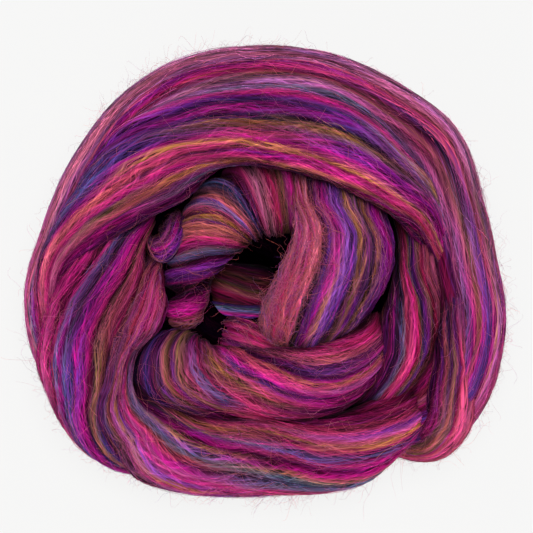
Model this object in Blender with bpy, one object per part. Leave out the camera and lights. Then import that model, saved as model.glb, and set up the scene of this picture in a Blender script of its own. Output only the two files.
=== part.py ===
"""A nest of wool roving: one long, loose rope of combed fibre, wound round a hollow and lying on a surface.

Blender, metres, +Z up. The origin is at the centre of the nest's footprint, on the surface it rests on.
The roving is one piece, so the nest is one solid: a padded heart with a flat foot and a central
hollow, joined to the broad turns of roving that wrap round it and cross over each other.
"""

from collections import namedtuple

import bmesh
import bpy
import numpy as np
from mathutils import Vector

MM = 0.001
NODE_NAME = "roving_nest"

# Driving dimensions, in millimetres.
STATION_STEP = 10.0  # distance between two rings of a turn's mesh
RING_SIDES = 14  # corners round a turn's cross-section
FOOT_RADIUS_X, FOOT_RADIUS_Y = 66.0, 62.0  # flat foot that the nest stands on
HEART_RADIUS_X, HEART_RADIUS_Y = 82.0, 78.0  # heart at its widest
HEART_WIDEST_Z, HEART_TOP_Z = 34.0, 58.0
HOLLOW_X, HOLLOW_Y = -10.0, -5.0  # axis of the central hollow
HOLLOW_RADIUS = 15.0
HOLLOW_FLOOR_Z = 37.0
WELD = 0.05  # corners closer than this after the union are made one

WOOL_COLOUR = (0.42, 0.06, 0.27, 1.0)
WOOL_ROUGHNESS = 0.85

# One cut across a turn. The turn's two edges are at (ax, ay, az) and (bx, by, bz), and its two
# faces bulge by thick on either side of the straight line between the edges. All in millimetres.
Cut = namedtuple("Cut", "ax ay az bx by bz thick")

# The lowest turn, which rests just above the foot and runs all the way round.
LOWEST_RADIUS_X, LOWEST_RADIUS_Y, LOWEST_Z = 69.0, 66.0, 20.5
LOWEST_HALF_WIDTH, LOWEST_THICK, LOWEST_WAVE = 18.5, 18.0, 2.0

# The outer turn, which runs all the way round: high at the back, low under the front turn. Its
# last cut leads on to its first. Edge a is its lower edge, b its upper edge.
OUTER_TURN = (
    Cut(0, -72, 9, 0, -70, 35, 14),
    Cut(24, -70, 10, 23, -67, 38, 14),
    Cut(46, -65, 12, 43, -62, 46, 15),
    Cut(67, -62, 14, 63, -59, 57, 17),
    Cut(79, -47, 18, 76, -44, 68, 17),
    Cut(84.5, -21, 22, 81.5, -20, 72, 16),
    Cut(81, 4, 22, 78, 4, 73, 16),
    Cut(76, 26, 23, 73, 25, 74, 16),
    Cut(67, 49, 24, 64, 47.5, 75, 17),
    Cut(48, 66, 25, 46, 62, 76, 16),
    Cut(23, 75, 26, 22, 72.5, 77, 17),
    Cut(-5, 78.3, 26, -5, 75, 77, 17),
    Cut(-31, 74, 25, -29, 70, 76, 17),
    Cut(-52, 60, 24, -49, 57, 74, 17),
    Cut(-70, 37, 22, -66, 35, 71, 16),
    Cut(-80, 13, 20, -76, 12, 67, 16),
    Cut(-86, -11, 17, -83, -11, 62, 16),
    Cut(-82, -36, 13, -79, -35, 54, 16),
    Cut(-67, -56, 10, -64, -54, 44, 15),
    Cut(-46, -65, 9, -45, -62, 38, 14),
    Cut(-23, -70, 9, -23, -68, 35, 14),
)

# The top turn: the broad band over the back, tucked in at the right. Edge a is outermost.
TOP_TURN = (
    Cut(-80, -51, 36, -76, -49, 40, 4),
    Cut(-88, -39, 45, -83, -37, 51, 5),
    Cut(-92, -18, 50, -84, -19, 58, 6),
    Cut(-91, 1, 54, -80, 0, 66, 8),
    Cut(-85, 19, 60, -66, 12, 73, 10),
    Cut(-76, 34, 66, -48, 22, 77, 11),
    Cut(-69, 44, 69, -31, 30, 79, 12),
    Cut(-55, 59, 72, -20, 40, 80, 12),
    Cut(-33, 70, 74, -8, 43, 80, 12),
    Cut(-7, 75, 74, 4, 42, 79, 12),
    Cut(20, 74, 73, 19, 38.5, 79, 11),
    Cut(38, 66, 72, 32, 33.5, 79, 11),
    Cut(53, 52, 71, 45, 27, 77, 10),
    Cut(64, 38, 68, 55, 20.5, 73, 10),
    Cut(71, 20, 64, 62, 12, 67, 9),
    Cut(74, 5, 56, 68, -1, 58, 8),
    Cut(74, -7, 40, 70, -10, 42, 6),
)

# The left turn: from under the top turn, down the left side, to end under the front turn.
LEFT_TURN = (
    Cut(-71, 25, 52, -42, 29, 58, 8),
    Cut(-79, 9, 58, -49, 12, 66, 10),
    Cut(-86, -3, 58, -50, 0, 68, 11),
    Cut(-89, -13, 56, -53, -10, 69, 12),
    Cut(-91, -24, 52, -59, -21, 69, 12),
    Cut(-92, -36, 47, -63, -33, 68, 13),
    Cut(-87, -48, 42, -65, -46, 66, 12),
    Cut(-80, -61, 37, -64, -57, 62, 11),
    Cut(-70, -72, 32, -58, -67, 55, 10),
    Cut(-56, -80, 29, -49, -72, 47, 8),
    Cut(-36, -75, 30, -35, -67, 42, 6),
)

# The front turn: a narrow neck down beside the hollow, which twists and opens out across the front.
FRONT_TURN = (
    Cut(-45, 31, 40, -36, 32, 40, 3),
    Cut(-47, 18, 44, -40, 19, 45, 3),
    Cut(-48, 8, 51, -42, 7, 53, 4),
    Cut(-49, -4, 60, -42.5, -4, 62, 7),
    Cut(-54, -13, 63, -41, -12, 65, 9),
    Cut(-60, -24, 64, -44, -23, 65, 9),
    Cut(-63, -34, 64, -53, -32, 65, 9),
    Cut(-64, -45, 62, -55, -43, 65, 10),
    Cut(-67, -57, 54, -51, -52, 66, 11),
    Cut(-64, -68, 44, -41, -56, 66, 12),
    Cut(-57, -82, 36, -29, -59.5, 66, 13),
    Cut(-41, -89, 32, -17, -61.5, 66, 13),
    Cut(-21, -91, 31, -4, -61, 66, 13),
    Cut(2, -90, 31, 10, -62, 66, 13),
    Cut(22, -89, 32, 24, -62.5, 66, 13),
    Cut(38, -84.5, 34, 38, -60, 65, 13),
    Cut(47, -73.5, 37, 52, -54.5, 62, 12),
    Cut(57, -66, 38, 61, -49.5, 56, 10),
    Cut(71, -61, 34, 70, -45, 44, 7),
)

# The right turn: from under the top turn's end, down inside the outer turn, to a low tail.
RIGHT_TURN = (
    Cut(79, 15, 48, 69, 13, 52, 7),
    Cut(79, 5, 56, 70, 4, 60, 9),
    Cut(79, -6, 60, 71, -5, 63, 9),
    Cut(82, -15, 61, 71, -15, 64, 10),
    Cut(84, -27, 60, 69, -26, 64, 10),
    Cut(84, -39, 58, 67, -38, 63, 10),
    Cut(85, -50, 54, 65, -48, 61, 10),
    Cut(84, -62, 48, 64, -56, 56, 11),
    Cut(77, -70, 41, 61, -64, 49, 11),
    Cut(64, -72, 34, 54, -66, 41, 9),
    Cut(48, -65, 30, 43, -61, 35, 6),
)

# The inner turn: from under the top turn, round inside the right turn, to dive in front.
INNER_TURN = (
    Cut(65, 25, 46, 50, 32, 46, 8),
    Cut(69, 14, 56, 52, 21, 56, 9),
    Cut(71, 3, 60, 53, 9, 60, 10),
    Cut(72, -11, 60, 50, -7, 60, 11),
    Cut(71, -25, 59, 46, -21, 58, 11),
    Cut(67, -36, 57, 44, -32, 55, 11),
    Cut(61, -45, 53, 40, -43, 51, 10),
    Cut(52, -52, 46, 33, -53, 44, 9),
    Cut(40, -58, 38, 25, -60, 37, 7),
)

# The loop: a wide fan of roving that comes out from under the top turn and curls down by the hollow.
LOOP_TURN = (
    Cut(44, 34, 54, 9, 46, 54, 9),
    Cut(48, 23, 62, 11, 34, 64, 11),
    Cut(51, 11, 66, 12, 19, 69, 12),
    Cut(50, 0, 66, 9, 7, 69, 13),
    Cut(45, -10, 64, 3, -5, 66, 12),
    Cut(38, -19, 60, -1, -15, 62, 11),
    Cut(29, -25, 54, -1, -23, 56, 9),
    Cut(22, -29, 44, 4, -28, 46, 7),
)

# The fan: it comes up out of the hollow, turns sharply, and sweeps across to the right.
FAN_TURN = (
    Cut(-43, -27, 45, -25, -27, 43, 7),
    Cut(-52, -33.5, 54, -25, -30, 53, 9),
    Cut(-55, -40, 57, -21, -30.5, 58, 10),
    Cut(-53, -47, 58, -16, -30, 60, 11),
    Cut(-45, -54, 58, -11, -30, 61, 11),
    Cut(-31, -58, 57, -4, -31, 62, 12),
    Cut(-15, -59.5, 56, 4, -31, 62, 12),
    Cut(4, -61, 55, 14, -31, 62, 12),
    Cut(22, -59, 54, 23, -29, 62, 12),
    Cut(37, -51, 53, 32, -25, 61, 12),
    Cut(43.5, -39, 52, 38, -21, 60, 11),
    Cut(44, -29, 49, 40.5, -16, 57, 9),
    Cut(47, -19, 42, 43, -12, 48, 7),
)

# The rim: the roving that passes over the hollow's edge and down into it. Edge a is outside.
RIM_TURN = (
    Cut(16, 44, 54, 14, 15, 48, 11),
    Cut(2, 45, 56, 4, 14, 50, 13),
    Cut(-13, 44, 57, -2, 14, 50, 14),
    Cut(-25, 38, 57, -7, 12, 50, 14),
    Cut(-32, 29, 57, -11, 9, 50, 14),
    Cut(-37, 18, 56, -16, 5, 50, 13),
    Cut(-41, 5, 55, -21, -2, 49, 13),
    Cut(-43, -8, 54, -24, -10, 49, 12),
    Cut(-43, -18, 52, -26, -17, 48, 11),
    Cut(-40, -25, 48, -29, -22, 46, 8),
)

OPEN_TURNS = {
    "top_turn": TOP_TURN,
    "left_turn": LEFT_TURN,
    "front_turn": FRONT_TURN,
    "right_turn": RIGHT_TURN,
    "inner_turn": INNER_TURN,
    "loop_turn": LOOP_TURN,
    "fan_turn": FAN_TURN,
    "rim_turn": RIM_TURN,
}


def clear_scene():
    for obj in list(bpy.data.objects):
        bpy.data.objects.remove(obj)


def wool_material():
    material = bpy.data.materials.new("wool")
    material.use_nodes = True
    shader = material.node_tree.nodes["Principled BSDF"]
    shader.inputs["Base Color"].default_value = WOOL_COLOUR
    shader.inputs["Roughness"].default_value = WOOL_ROUGHNESS
    shader.inputs["Metallic"].default_value = 0.0
    return material


def smooth_rows(rows, closed=False):
    """Carries a Catmull-Rom curve through every column of the rows, with a station about every step."""
    rows = np.array(rows, float)
    if closed:
        rows = np.vstack([rows, rows[:1]])
        padded = np.vstack([rows[-2], rows, rows[1]])
    else:
        padded = np.vstack([2 * rows[0] - rows[1], rows, 2 * rows[-1] - rows[-2]])
    middles = (rows[:, 0:3] + rows[:, 3:6]) / 2
    stations = [rows[0]]
    for i in range(len(rows) - 1):
        p0, p1, p2, p3 = padded[i : i + 4]
        count = max(1, round(float(np.linalg.norm(middles[i + 1] - middles[i])) / STATION_STEP))
        for k in range(1, count + 1):
            t = k / count
            stations.append(
                0.5
                * (
                    2 * p1
                    + (p2 - p0) * t
                    + (2 * p0 - 5 * p1 + 4 * p2 - p3) * t**2
                    + (3 * p1 - p0 - 3 * p2 + p3) * t**3
                )
            )
    return np.array(stations[:-1] if closed else stations)


def rings_of(rows, sides, closed=False):
    """One elliptic ring of corners for each row, as an array of rings x corners x 3."""
    edge_a, edge_b, thick = rows[:, 0:3], rows[:, 3:6], rows[:, 6]
    middle, half = (edge_a + edge_b) / 2, (edge_b - edge_a) / 2
    if closed:
        along = np.roll(middle, -1, axis=0) - np.roll(middle, 1, axis=0)
    else:
        along = np.gradient(middle, axis=0)
    face = np.cross(half, along)
    face /= np.linalg.norm(face, axis=1)[:, None]
    angle = 2 * np.pi * np.arange(sides) / sides
    return (
        middle[:, None]
        + half[:, None] * np.cos(angle)[None, :, None]
        + face[:, None] * thick[:, None, None] * np.sin(angle)[None, :, None]
    )


def skin(name, rings, closed=False):
    """A closed object from rings of corners: a tube with flat ends, or a ring that meets itself."""
    count, sides, _ = rings.shape
    mesh = bmesh.new()
    grid = [[mesh.verts.new(Vector(p) * MM) for p in ring] for ring in rings]
    for i in range(count if closed else count - 1):
        here, there = grid[i], grid[(i + 1) % count]
        for k in range(sides):
            m = (k + 1) % sides
            mesh.faces.new((here[k], here[m], there[m], there[k]))
    if not closed:
        mesh.faces.new(grid[0])
        mesh.faces.new(grid[-1])
    bmesh.ops.triangulate(mesh, faces=mesh.faces[:])
    bmesh.ops.recalc_face_normals(mesh, faces=mesh.faces[:])
    data = bpy.data.meshes.new(name)
    mesh.to_mesh(data)
    mesh.free()
    obj = bpy.data.objects.new(name, data)
    bpy.context.scene.collection.objects.link(obj)
    return obj


def lowest_turn():
    """The closed turn at the bottom: an oval ring whose height and width wander a little."""
    turn = np.linspace(0, 2 * np.pi, 36, endpoint=False)
    wave = LOWEST_WAVE * np.sin(2 * turn + 0.6)
    outward = np.stack([np.cos(turn), np.sin(turn)], axis=1)
    middle = outward * [LOWEST_RADIUS_X, LOWEST_RADIUS_Y]
    out_edge = middle + outward * (LOWEST_HALF_WIDTH + 0.5 * wave[:, None])
    in_edge = middle - outward * LOWEST_HALF_WIDTH
    level = np.full(len(turn), LOWEST_Z)
    rows = np.column_stack([out_edge, level + wave, in_edge, level, np.full(len(turn), LOWEST_THICK)])
    return skin("lowest_turn", rings_of(rows, RING_SIDES, closed=True), closed=True)


def heart():
    """The packed middle: a bun with a flat foot and a round hollow let into its top."""
    outer = [
        (FOOT_RADIUS_X, FOOT_RADIUS_Y, 0.0),
        (HEART_RADIUS_X * 0.93, HEART_RADIUS_Y * 0.93, HEART_WIDEST_Z * 0.35),
        (HEART_RADIUS_X, HEART_RADIUS_Y, HEART_WIDEST_Z),
        (HEART_RADIUS_X * 0.9, HEART_RADIUS_Y * 0.9, HEART_WIDEST_Z + 14),
        (HEART_RADIUS_X * 0.62, HEART_RADIUS_Y * 0.62, HEART_TOP_Z),
    ]
    hollow = [
        (HOLLOW_RADIUS * 1.25, HEART_TOP_Z - 3),
        (HOLLOW_RADIUS, HEART_TOP_Z - 11),
        (HOLLOW_RADIUS * 0.85, HOLLOW_FLOOR_Z + 3),
        (HOLLOW_RADIUS * 0.6, HOLLOW_FLOOR_Z),
    ]
    turn = np.linspace(0, 2 * np.pi, 32, endpoint=False)
    c, s = np.cos(turn), np.sin(turn)
    rings = [np.column_stack([rx * c, ry * s, np.full(len(turn), z)]) for rx, ry, z in outer]
    rings += [
        np.column_stack([HOLLOW_X + r * c, HOLLOW_Y + r * s, np.full(len(turn), z)]) for r, z in hollow
    ]
    return skin("heart", np.array(rings))


def join(parts):
    """Boolean union of every part into the first one, with the pockets closed up inside it filled in."""
    whole, *others = parts
    for other in others:
        union = whole.modifiers.new("join_" + other.name, "BOOLEAN")
        union.operation = "UNION"
        union.solver = "EXACT"
        union.object = other
    bpy.context.view_layer.update()
    graph = bpy.context.evaluated_depsgraph_get()
    mesh = bmesh.new()
    mesh.from_mesh(whole.evaluated_get(graph).data)
    bmesh.ops.remove_doubles(mesh, verts=mesh.verts[:], dist=WELD * MM)
    keep_outer_shell(mesh)
    bmesh.ops.triangulate(mesh, faces=mesh.faces[:])
    data = bpy.data.meshes.new(NODE_NAME)
    mesh.to_mesh(data)
    mesh.free()
    clear_scene()
    nest = bpy.data.objects.new(NODE_NAME, data)
    bpy.context.scene.collection.objects.link(nest)
    return nest


def keep_outer_shell(mesh):
    """Drops every connected shell of the mesh but the largest one."""
    unseen = set(mesh.verts)
    shells = []
    while unseen:
        stack = [unseen.pop()]
        shell = set(stack)
        while stack:
            for edge in stack.pop().link_edges:
                for vert in edge.verts:
                    if vert in unseen:
                        unseen.discard(vert)
                        shell.add(vert)
                        stack.append(vert)
        shells.append(shell)
    shells.sort(key=len)
    inner = [vert for shell in shells[:-1] for vert in shell]
    bmesh.ops.delete(mesh, geom=inner, context="VERTS")


def main():
    clear_scene()
    outer_rings = rings_of(smooth_rows(OUTER_TURN, closed=True), RING_SIDES, closed=True)
    parts = [heart(), lowest_turn(), skin("outer_turn", outer_rings, closed=True)]
    for name, rows in OPEN_TURNS.items():
        parts.append(skin(name, rings_of(smooth_rows(rows), RING_SIDES)))
    nest = join(parts)
    nest.data.materials.clear()
    nest.data.materials.append(wool_material())
    nest.data.shade_smooth()


main()
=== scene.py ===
# %% [markdown]
# # A nest of wool roving
# Roving is a loose rope of combed wool. Several dyed wools are blended in it, and because combing
# only lays the fibres side by side, each colour stays as a soft streak that runs the whole length.
# Here one long roving is wound round a hollow into a nest and laid on a table.
#
# A real nest is millions of fibres. This lesson builds it in two layers. First come the broad turns
# of the roving, as solid surfaces with the grooves between their strands modelled in. Then many
# thousand single fibres are laid over them, as real geometry, so that the edges look soft.

# %% The frame, and the plain values that every step shares
from collections import namedtuple
from math import pi

import bpy
import numpy as np
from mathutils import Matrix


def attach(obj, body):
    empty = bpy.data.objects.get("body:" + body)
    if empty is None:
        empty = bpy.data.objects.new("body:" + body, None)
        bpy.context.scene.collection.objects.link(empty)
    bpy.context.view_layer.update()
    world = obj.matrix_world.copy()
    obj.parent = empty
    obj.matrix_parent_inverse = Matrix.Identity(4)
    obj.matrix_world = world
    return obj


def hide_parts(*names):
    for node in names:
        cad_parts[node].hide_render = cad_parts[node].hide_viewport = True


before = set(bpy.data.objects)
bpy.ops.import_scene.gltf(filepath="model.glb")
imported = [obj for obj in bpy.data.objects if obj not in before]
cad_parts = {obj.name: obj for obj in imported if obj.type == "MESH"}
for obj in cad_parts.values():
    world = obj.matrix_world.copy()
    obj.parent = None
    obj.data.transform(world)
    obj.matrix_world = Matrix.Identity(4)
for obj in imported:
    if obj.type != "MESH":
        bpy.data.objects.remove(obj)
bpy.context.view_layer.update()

MM = 0.001
NODE = "roving_nest"
scene = bpy.context.scene

# %% [markdown]
# ## Camera, floor and light
# The nest is seen from straight above, as flat things often are, so the camera looks down the Z
# axis. It has a long lens, because a long lens keeps the near turns from looking swollen. The floor
# and the light are both pale and soft: wool has no sharp highlights to show off, and its colour is
# easiest to read when the dark comes only from the gaps between the turns.

# %% Camera
LENS_MM, SENSOR_MM = 100.0, 36.0
VIEW_WIDTH = 222.0  # how much of the table the picture takes in, at half the nest's height
HALF_HEIGHT = 45.0
AIM_X, AIM_Y = 0.2, 2.5  # the middle of the picture

camera_data = bpy.data.cameras.new("camera")
camera_data.lens, camera_data.sensor_width = LENS_MM, SENSOR_MM
camera_data.clip_start, camera_data.clip_end = 0.01, 20.0
camera = bpy.data.objects.new("camera", camera_data)
camera.location = (AIM_X * MM, AIM_Y * MM, (HALF_HEIGHT + VIEW_WIDTH * LENS_MM / SENSOR_MM) * MM)
scene.collection.objects.link(camera)
scene.camera = camera
print("camera height, in mm:", round(camera.location.z / MM))


# %% Setting up nodes
def set_inputs(made, values):
    """Gives a node's inputs, by name or number, a plain value or the output of another node."""
    for label, value in values.items():
        source = getattr(value, "socket", value)
        if isinstance(source, bpy.types.NodeSocket):
            made.id_data.links.new(source, made.inputs[label])
        else:
            made.inputs[label].default_value = value


def node(tree, kind, inputs, **settings):
    """Adds a node, then sets its attributes, and then its inputs."""
    made = tree.nodes.new(kind)
    for key, value in settings.items():
        setattr(made, key, value)
    set_inputs(made, inputs)
    return made


# %% Floor, light and world
REACH = 4.0  # metres from the middle of the floor to its sides
WHITE = (1.0, 1.0, 0.995, 1)
floor_mesh = bpy.data.meshes.new("floor")
floor_mesh.from_pydata(
    [(-REACH, -REACH, 0), (REACH, -REACH, 0), (REACH, REACH, 0), (-REACH, REACH, 0)], [], [(0, 1, 2, 3)]
)
floor = bpy.data.objects.new("floor", floor_mesh)
scene.collection.objects.link(floor)

paper = bpy.data.materials.new("pale_paper")
paper.use_nodes = True
set_inputs(paper.node_tree.nodes["Principled BSDF"], {
    "Base Color": (0.09, 0.09, 0.09, 1), "Roughness": 1.0, "Specular IOR Level": 0.0,
    "Emission Color": WHITE, "Emission Strength": 0.80,
})  # fmt: skip
floor_mesh.materials.append(paper)

Light = namedtuple("Light", "name x y z size watts")
LIGHTS = (
    Light("softbox_back", 0.05, 0.22, 2.10, 1.2, 56.0),
    Light("softbox_front", -0.60, -1.20, 1.60, 1.4, 4.0),
)
for lamp in LIGHTS:
    data = bpy.data.lights.new(lamp.name, "AREA")
    data.shape, data.size, data.energy = "DISK", lamp.size, lamp.watts
    light = bpy.data.objects.new(lamp.name, data)
    light.location = (lamp.x, lamp.y, lamp.z)
    light.rotation_euler = (-light.location).to_track_quat("-Z", "Y").to_euler()
    scene.collection.objects.link(light)

# The world lights the nest only a little, but looks as pale as the floor wherever it is seen.
world = bpy.data.worlds.new("soft_room")
world.use_nodes = True
room = world.node_tree
lit = room.nodes["Background"]
set_inputs(lit, {"Color": (1.0, 1.0, 1.0, 1), "Strength": 0.20})
seen = node(room, "ShaderNodeBackground", {"Color": WHITE, "Strength": 0.84})
rays = node(room, "ShaderNodeLightPath", {})
either = node(room, "ShaderNodeMixShader", {
    0: rays.outputs["Is Camera Ray"], 1: lit.outputs[0], 2: seen.outputs[0],
})  # fmt: skip
set_inputs(room.nodes["World Output"], {"Surface": either.outputs[0]})
scene.world = world
scene.view_settings.view_transform = "Standard"
print("lights:", ", ".join(lamp.name for lamp in LIGHTS))

# %% [markdown]
# ## The turns of the roving
# Where one turn crosses the nest, cut it with a knife: the cut is a flattened oval. So a turn can be
# written down as a short row of such cuts, and a smooth curve through every number of the rows gives
# the turn between them. Each cut says where the turn's two edges are and how far its faces bulge
# from the straight line between the edges. All sizes are in millimetres.
#
# The outer turn's edges are its bottom and its top, because it stands on its edge round the nest.
# The others lie flat, edge a outside and edge b inside, or to the left and the right.


# %% The cuts
def cut_table(text):
    """A row for each cut: the x, y and z of edge a, those of edge b, and the thickness."""
    return np.array(text.replace(";", " ").split(), float).reshape(-1, 7)


# The outer turn, which runs all the way round: high at the back, low under the front turn. Its
# last cut leads on to its first. Edge a is its lower edge, b its upper edge.
OUTER_TURN = cut_table("""
    0 -72 9 0 -70 35 14; 24 -70 10 23 -67 38 14; 46 -65 12 43 -62 46 15; 67 -62 14 63 -59 57 17;
    79 -47 18 76 -44 68 17; 84.5 -21 22 81.5 -20 72 16; 81 4 22 78 4 73 16; 76 26 23 73 25 74 16;
    67 49 24 64 47.5 75 17; 48 66 25 46 62 76 16; 23 75 26 22 72.5 77 17; -5 78.3 26 -5 75 77 17;
    -31 74 25 -29 70 76 17; -52 60 24 -49 57 74 17; -70 37 22 -66 35 71 16; -80 13 20 -76 12 67 16;
    -86 -11 17 -83 -11 62 16; -82 -36 13 -79 -35 54 16; -67 -56 10 -64 -54 44 15;
    -46 -65 9 -45 -62 38 14; -23 -70 9 -23 -68 35 14
""")

# The top turn: the broad band over the back, tucked in at the right. Edge a is outermost.
TOP_TURN = cut_table("""
    -80 -51 36 -76 -49 40 4; -88 -39 45 -83 -37 51 5; -92 -18 50 -84 -19 58 6; -91 1 54 -80 0 66 8;
    -85 19 60 -66 12 73 10; -76 34 66 -48 22 77 11; -69 44 69 -31 30 79 12; -55 59 72 -20 40 80 12;
    -33 70 74 -8 43 80 12; -7 75 74 4 42 79 12; 20 74 73 19 38.5 79 11; 38 66 72 32 33.5 79 11;
    53 52 71 45 27 77 10; 64 38 68 55 20.5 73 10; 71 20 64 62 12 67 9; 74 5 56 68 -1 58 8;
    74 -7 40 70 -10 42 6
""")

# The left turn: from under the top turn, down the left side, to end under the front turn.
LEFT_TURN = cut_table("""
    -71 25 52 -42 29 58 8; -79 9 58 -49 12 66 10; -86 -3 58 -50 0 68 11; -89 -13 56 -53 -10 69 12;
    -91 -24 52 -59 -21 69 12; -92 -36 47 -63 -33 68 13; -87 -48 42 -65 -46 66 12;
    -80 -61 37 -64 -57 62 11; -70 -72 32 -58 -67 55 10; -56 -80 29 -49 -72 47 8;
    -36 -75 30 -35 -67 42 6
""")

# The front turn: a narrow neck down beside the hollow, which twists and opens out across the front.
FRONT_TURN = cut_table("""
    -45 31 40 -36 32 40 3; -47 18 44 -40 19 45 3; -48 8 51 -42 7 53 4; -49 -4 60 -42.5 -4 62 7;
    -54 -13 63 -41 -12 65 9; -60 -24 64 -44 -23 65 9; -63 -34 64 -53 -32 65 9;
    -64 -45 62 -55 -43 65 10; -67 -57 54 -51 -52 66 11; -64 -68 44 -41 -56 66 12;
    -57 -82 36 -29 -59.5 66 13; -41 -89 32 -17 -61.5 66 13; -21 -91 31 -4 -61 66 13;
    2 -90 31 10 -62 66 13; 22 -89 32 24 -62.5 66 13; 38 -84.5 34 38 -60 65 13;
    47 -73.5 37 52 -54.5 62 12; 57 -66 38 61 -49.5 56 10; 71 -61 34 70 -45 44 7
""")

# The right turn: from under the top turn's end, down inside the outer turn, to a low tail.
RIGHT_TURN = cut_table("""
    79 15 48 69 13 52 7; 79 5 56 70 4 60 9; 79 -6 60 71 -5 63 9; 82 -15 61 71 -15 64 10;
    84 -27 60 69 -26 64 10; 84 -39 58 67 -38 63 10; 85 -50 54 65 -48 61 10; 84 -62 48 64 -56 56 11;
    77 -70 41 61 -64 49 11; 64 -72 34 54 -66 41 9; 48 -65 30 43 -61 35 6
""")

# The inner turn: from under the top turn, round inside the right turn, to dive in front.
INNER_TURN = cut_table("""
    65 25 46 50 32 46 8; 69 14 56 52 21 56 9; 71 3 60 53 9 60 10; 72 -11 60 50 -7 60 11;
    71 -25 59 46 -21 58 11; 67 -36 57 44 -32 55 11; 61 -45 53 40 -43 51 10; 52 -52 46 33 -53 44 9;
    40 -58 38 25 -60 37 7
""")

# The loop: a wide fan of roving that comes out from under the top turn and curls down by the hollow.
LOOP_TURN = cut_table("""
    44 34 54 9 46 54 9; 48 23 62 11 34 64 11; 51 11 66 12 19 69 12; 50 0 66 9 7 69 13;
    45 -10 64 3 -5 66 12; 38 -19 60 -1 -15 62 11; 29 -25 54 -1 -23 56 9; 22 -29 44 4 -28 46 7
""")

# The fan: it comes up out of the hollow, turns sharply, and sweeps across to the right.
FAN_TURN = cut_table("""
    -43 -27 45 -25 -27 43 7; -52 -33.5 54 -25 -30 53 9; -55 -40 57 -21 -30.5 58 10;
    -53 -47 58 -16 -30 60 11; -45 -54 58 -11 -30 61 11; -31 -58 57 -4 -31 62 12;
    -15 -59.5 56 4 -31 62 12; 4 -61 55 14 -31 62 12; 22 -59 54 23 -29 62 12; 37 -51 53 32 -25 61 12;
    43.5 -39 52 38 -21 60 11; 44 -29 49 40.5 -16 57 9; 47 -19 42 43 -12 48 7
""")

# The rim: the roving that passes over the hollow's edge and down into it. Edge a is outside.
RIM_TURN = cut_table("""
    16 44 54 14 15 48 11; 2 45 56 4 14 50 13; -13 44 57 -2 14 50 14; -25 38 57 -7 12 50 14;
    -32 29 57 -11 9 50 14; -37 18 56 -16 5 50 13; -41 5 55 -21 -2 49 13; -43 -8 54 -24 -10 49 12;
    -43 -18 52 -26 -17 48 11; -40 -25 48 -29 -22 46 8
""")

# Thin strands cross the hollow from left to right, low in it, and one more (the sill) comes out of it
# in front of them and goes under the tip of the loop.
DEEP_TURN = cut_table("""
    -25 -16 30 -25 6 27 3; -18 -18 35 -18 5 33 4; -10 -19 36 -10 4 34 4; -2 -19 36 -2 3 33 4;
    6 -18 31 6 2 28 3
""")
SILL_TURN = cut_table("""
    -35 -16 34 -34 -10 36 2; -24 -18 40 -23 -12 42 3; -10 -19 42 -9 -14 44 3; 3 -19 41 3 -14 43 3;
    12 -18 38 12 -13 40 2
""")

# Left of the hollow a tuft hangs out of the roving's neck like a hook.
TUFT_TURN = cut_table("""
    -31 26 50 -40 26 50 4; -32 18 58 -41.5 19 57 5; -34 11 61 -42.5 16.5 58 5;
    -38 5.5 62 -43 15 58 5; -43 4.3 61 -44.5 14 58 5; -47.7 9.2 58 -45.7 15 56 4;
    -49 14 54 -46.5 16.5 53 3
""")

# The lip: the fuzzy edge of the fan, under the loop.
LIP_TURN = cut_table("""
    -24 -33 42 -25 -27 40 3; -19 -36 50 -20 -23 45 5; -12 -38 54 -13 -20 48 7;
    -3 -40 55 -5 -22 50 7; 6 -41 55 3 -26 51 7; 17 -40 53 14 -28 50 6
""")

# The lowest turn is a plain ring, so a formula gives its cuts: edges a and b stand RING_HALF outside
# and inside an oval, and a wave of RING_WAVE lifts edge a and pushes it out by half as much.
RING_STEPS, RING_RADII = 36, [69.0, 66.0]
RING_HALF, RING_Z, RING_THICK, RING_WAVE = 18.5, 20.5, 18.0, 2.0
ring = np.linspace(0, 2 * pi, RING_STEPS, endpoint=False)
ring_wave = RING_WAVE * np.sin(2 * ring + 0.6)
ring_out = np.stack([np.cos(ring), np.sin(ring)], axis=1)
ring_middle = ring_out * RING_RADII
LOWEST_TURN = np.column_stack([
    ring_middle + ring_out * (RING_HALF + 0.5 * ring_wave[:, None]), RING_Z + ring_wave,
    ring_middle - ring_out * RING_HALF, np.full(RING_STEPS, RING_Z), np.full(RING_STEPS, RING_THICK),
])  # fmt: skip
print("the outer turn has", len(OUTER_TURN), "cuts, the lowest", len(LOWEST_TURN))

# %% [markdown]
# ## From cuts to a surface
# A surface needs two coordinates. One goes along the turn and is called `along`. The other goes
# round the oval and is called `across`: it starts at the middle of the hidden face, is 0.25 at edge
# a, 0.5 at the middle of the face that shows, and 0.75 at edge b.
#
# In real roving the fibres do not keep to one place on the oval. They turn slowly round it, since
# any rope twists a little when it is wound. That is why `across` names a fibre and not a place: each
# turn's `twist` says how far its fibres have turned at each part of the way. Lines of equal `across`
# are then true fibre lines, and colour streaks, grooves and loose fibres can all follow them.
#
# The rim is the odd one out. There the roving dives over the edge of the hollow, so its fibres run
# round the oval instead, a little slanted. Its `slant` takes the place of the twist.

# %% What is known about each turn
DOWN, IN, BACK = -pi / 2, pi / 2, pi  # the angle that is hidden: underneath, inside, at edge b
STRAIGHT = ((0, 0), (1, 0))
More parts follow.
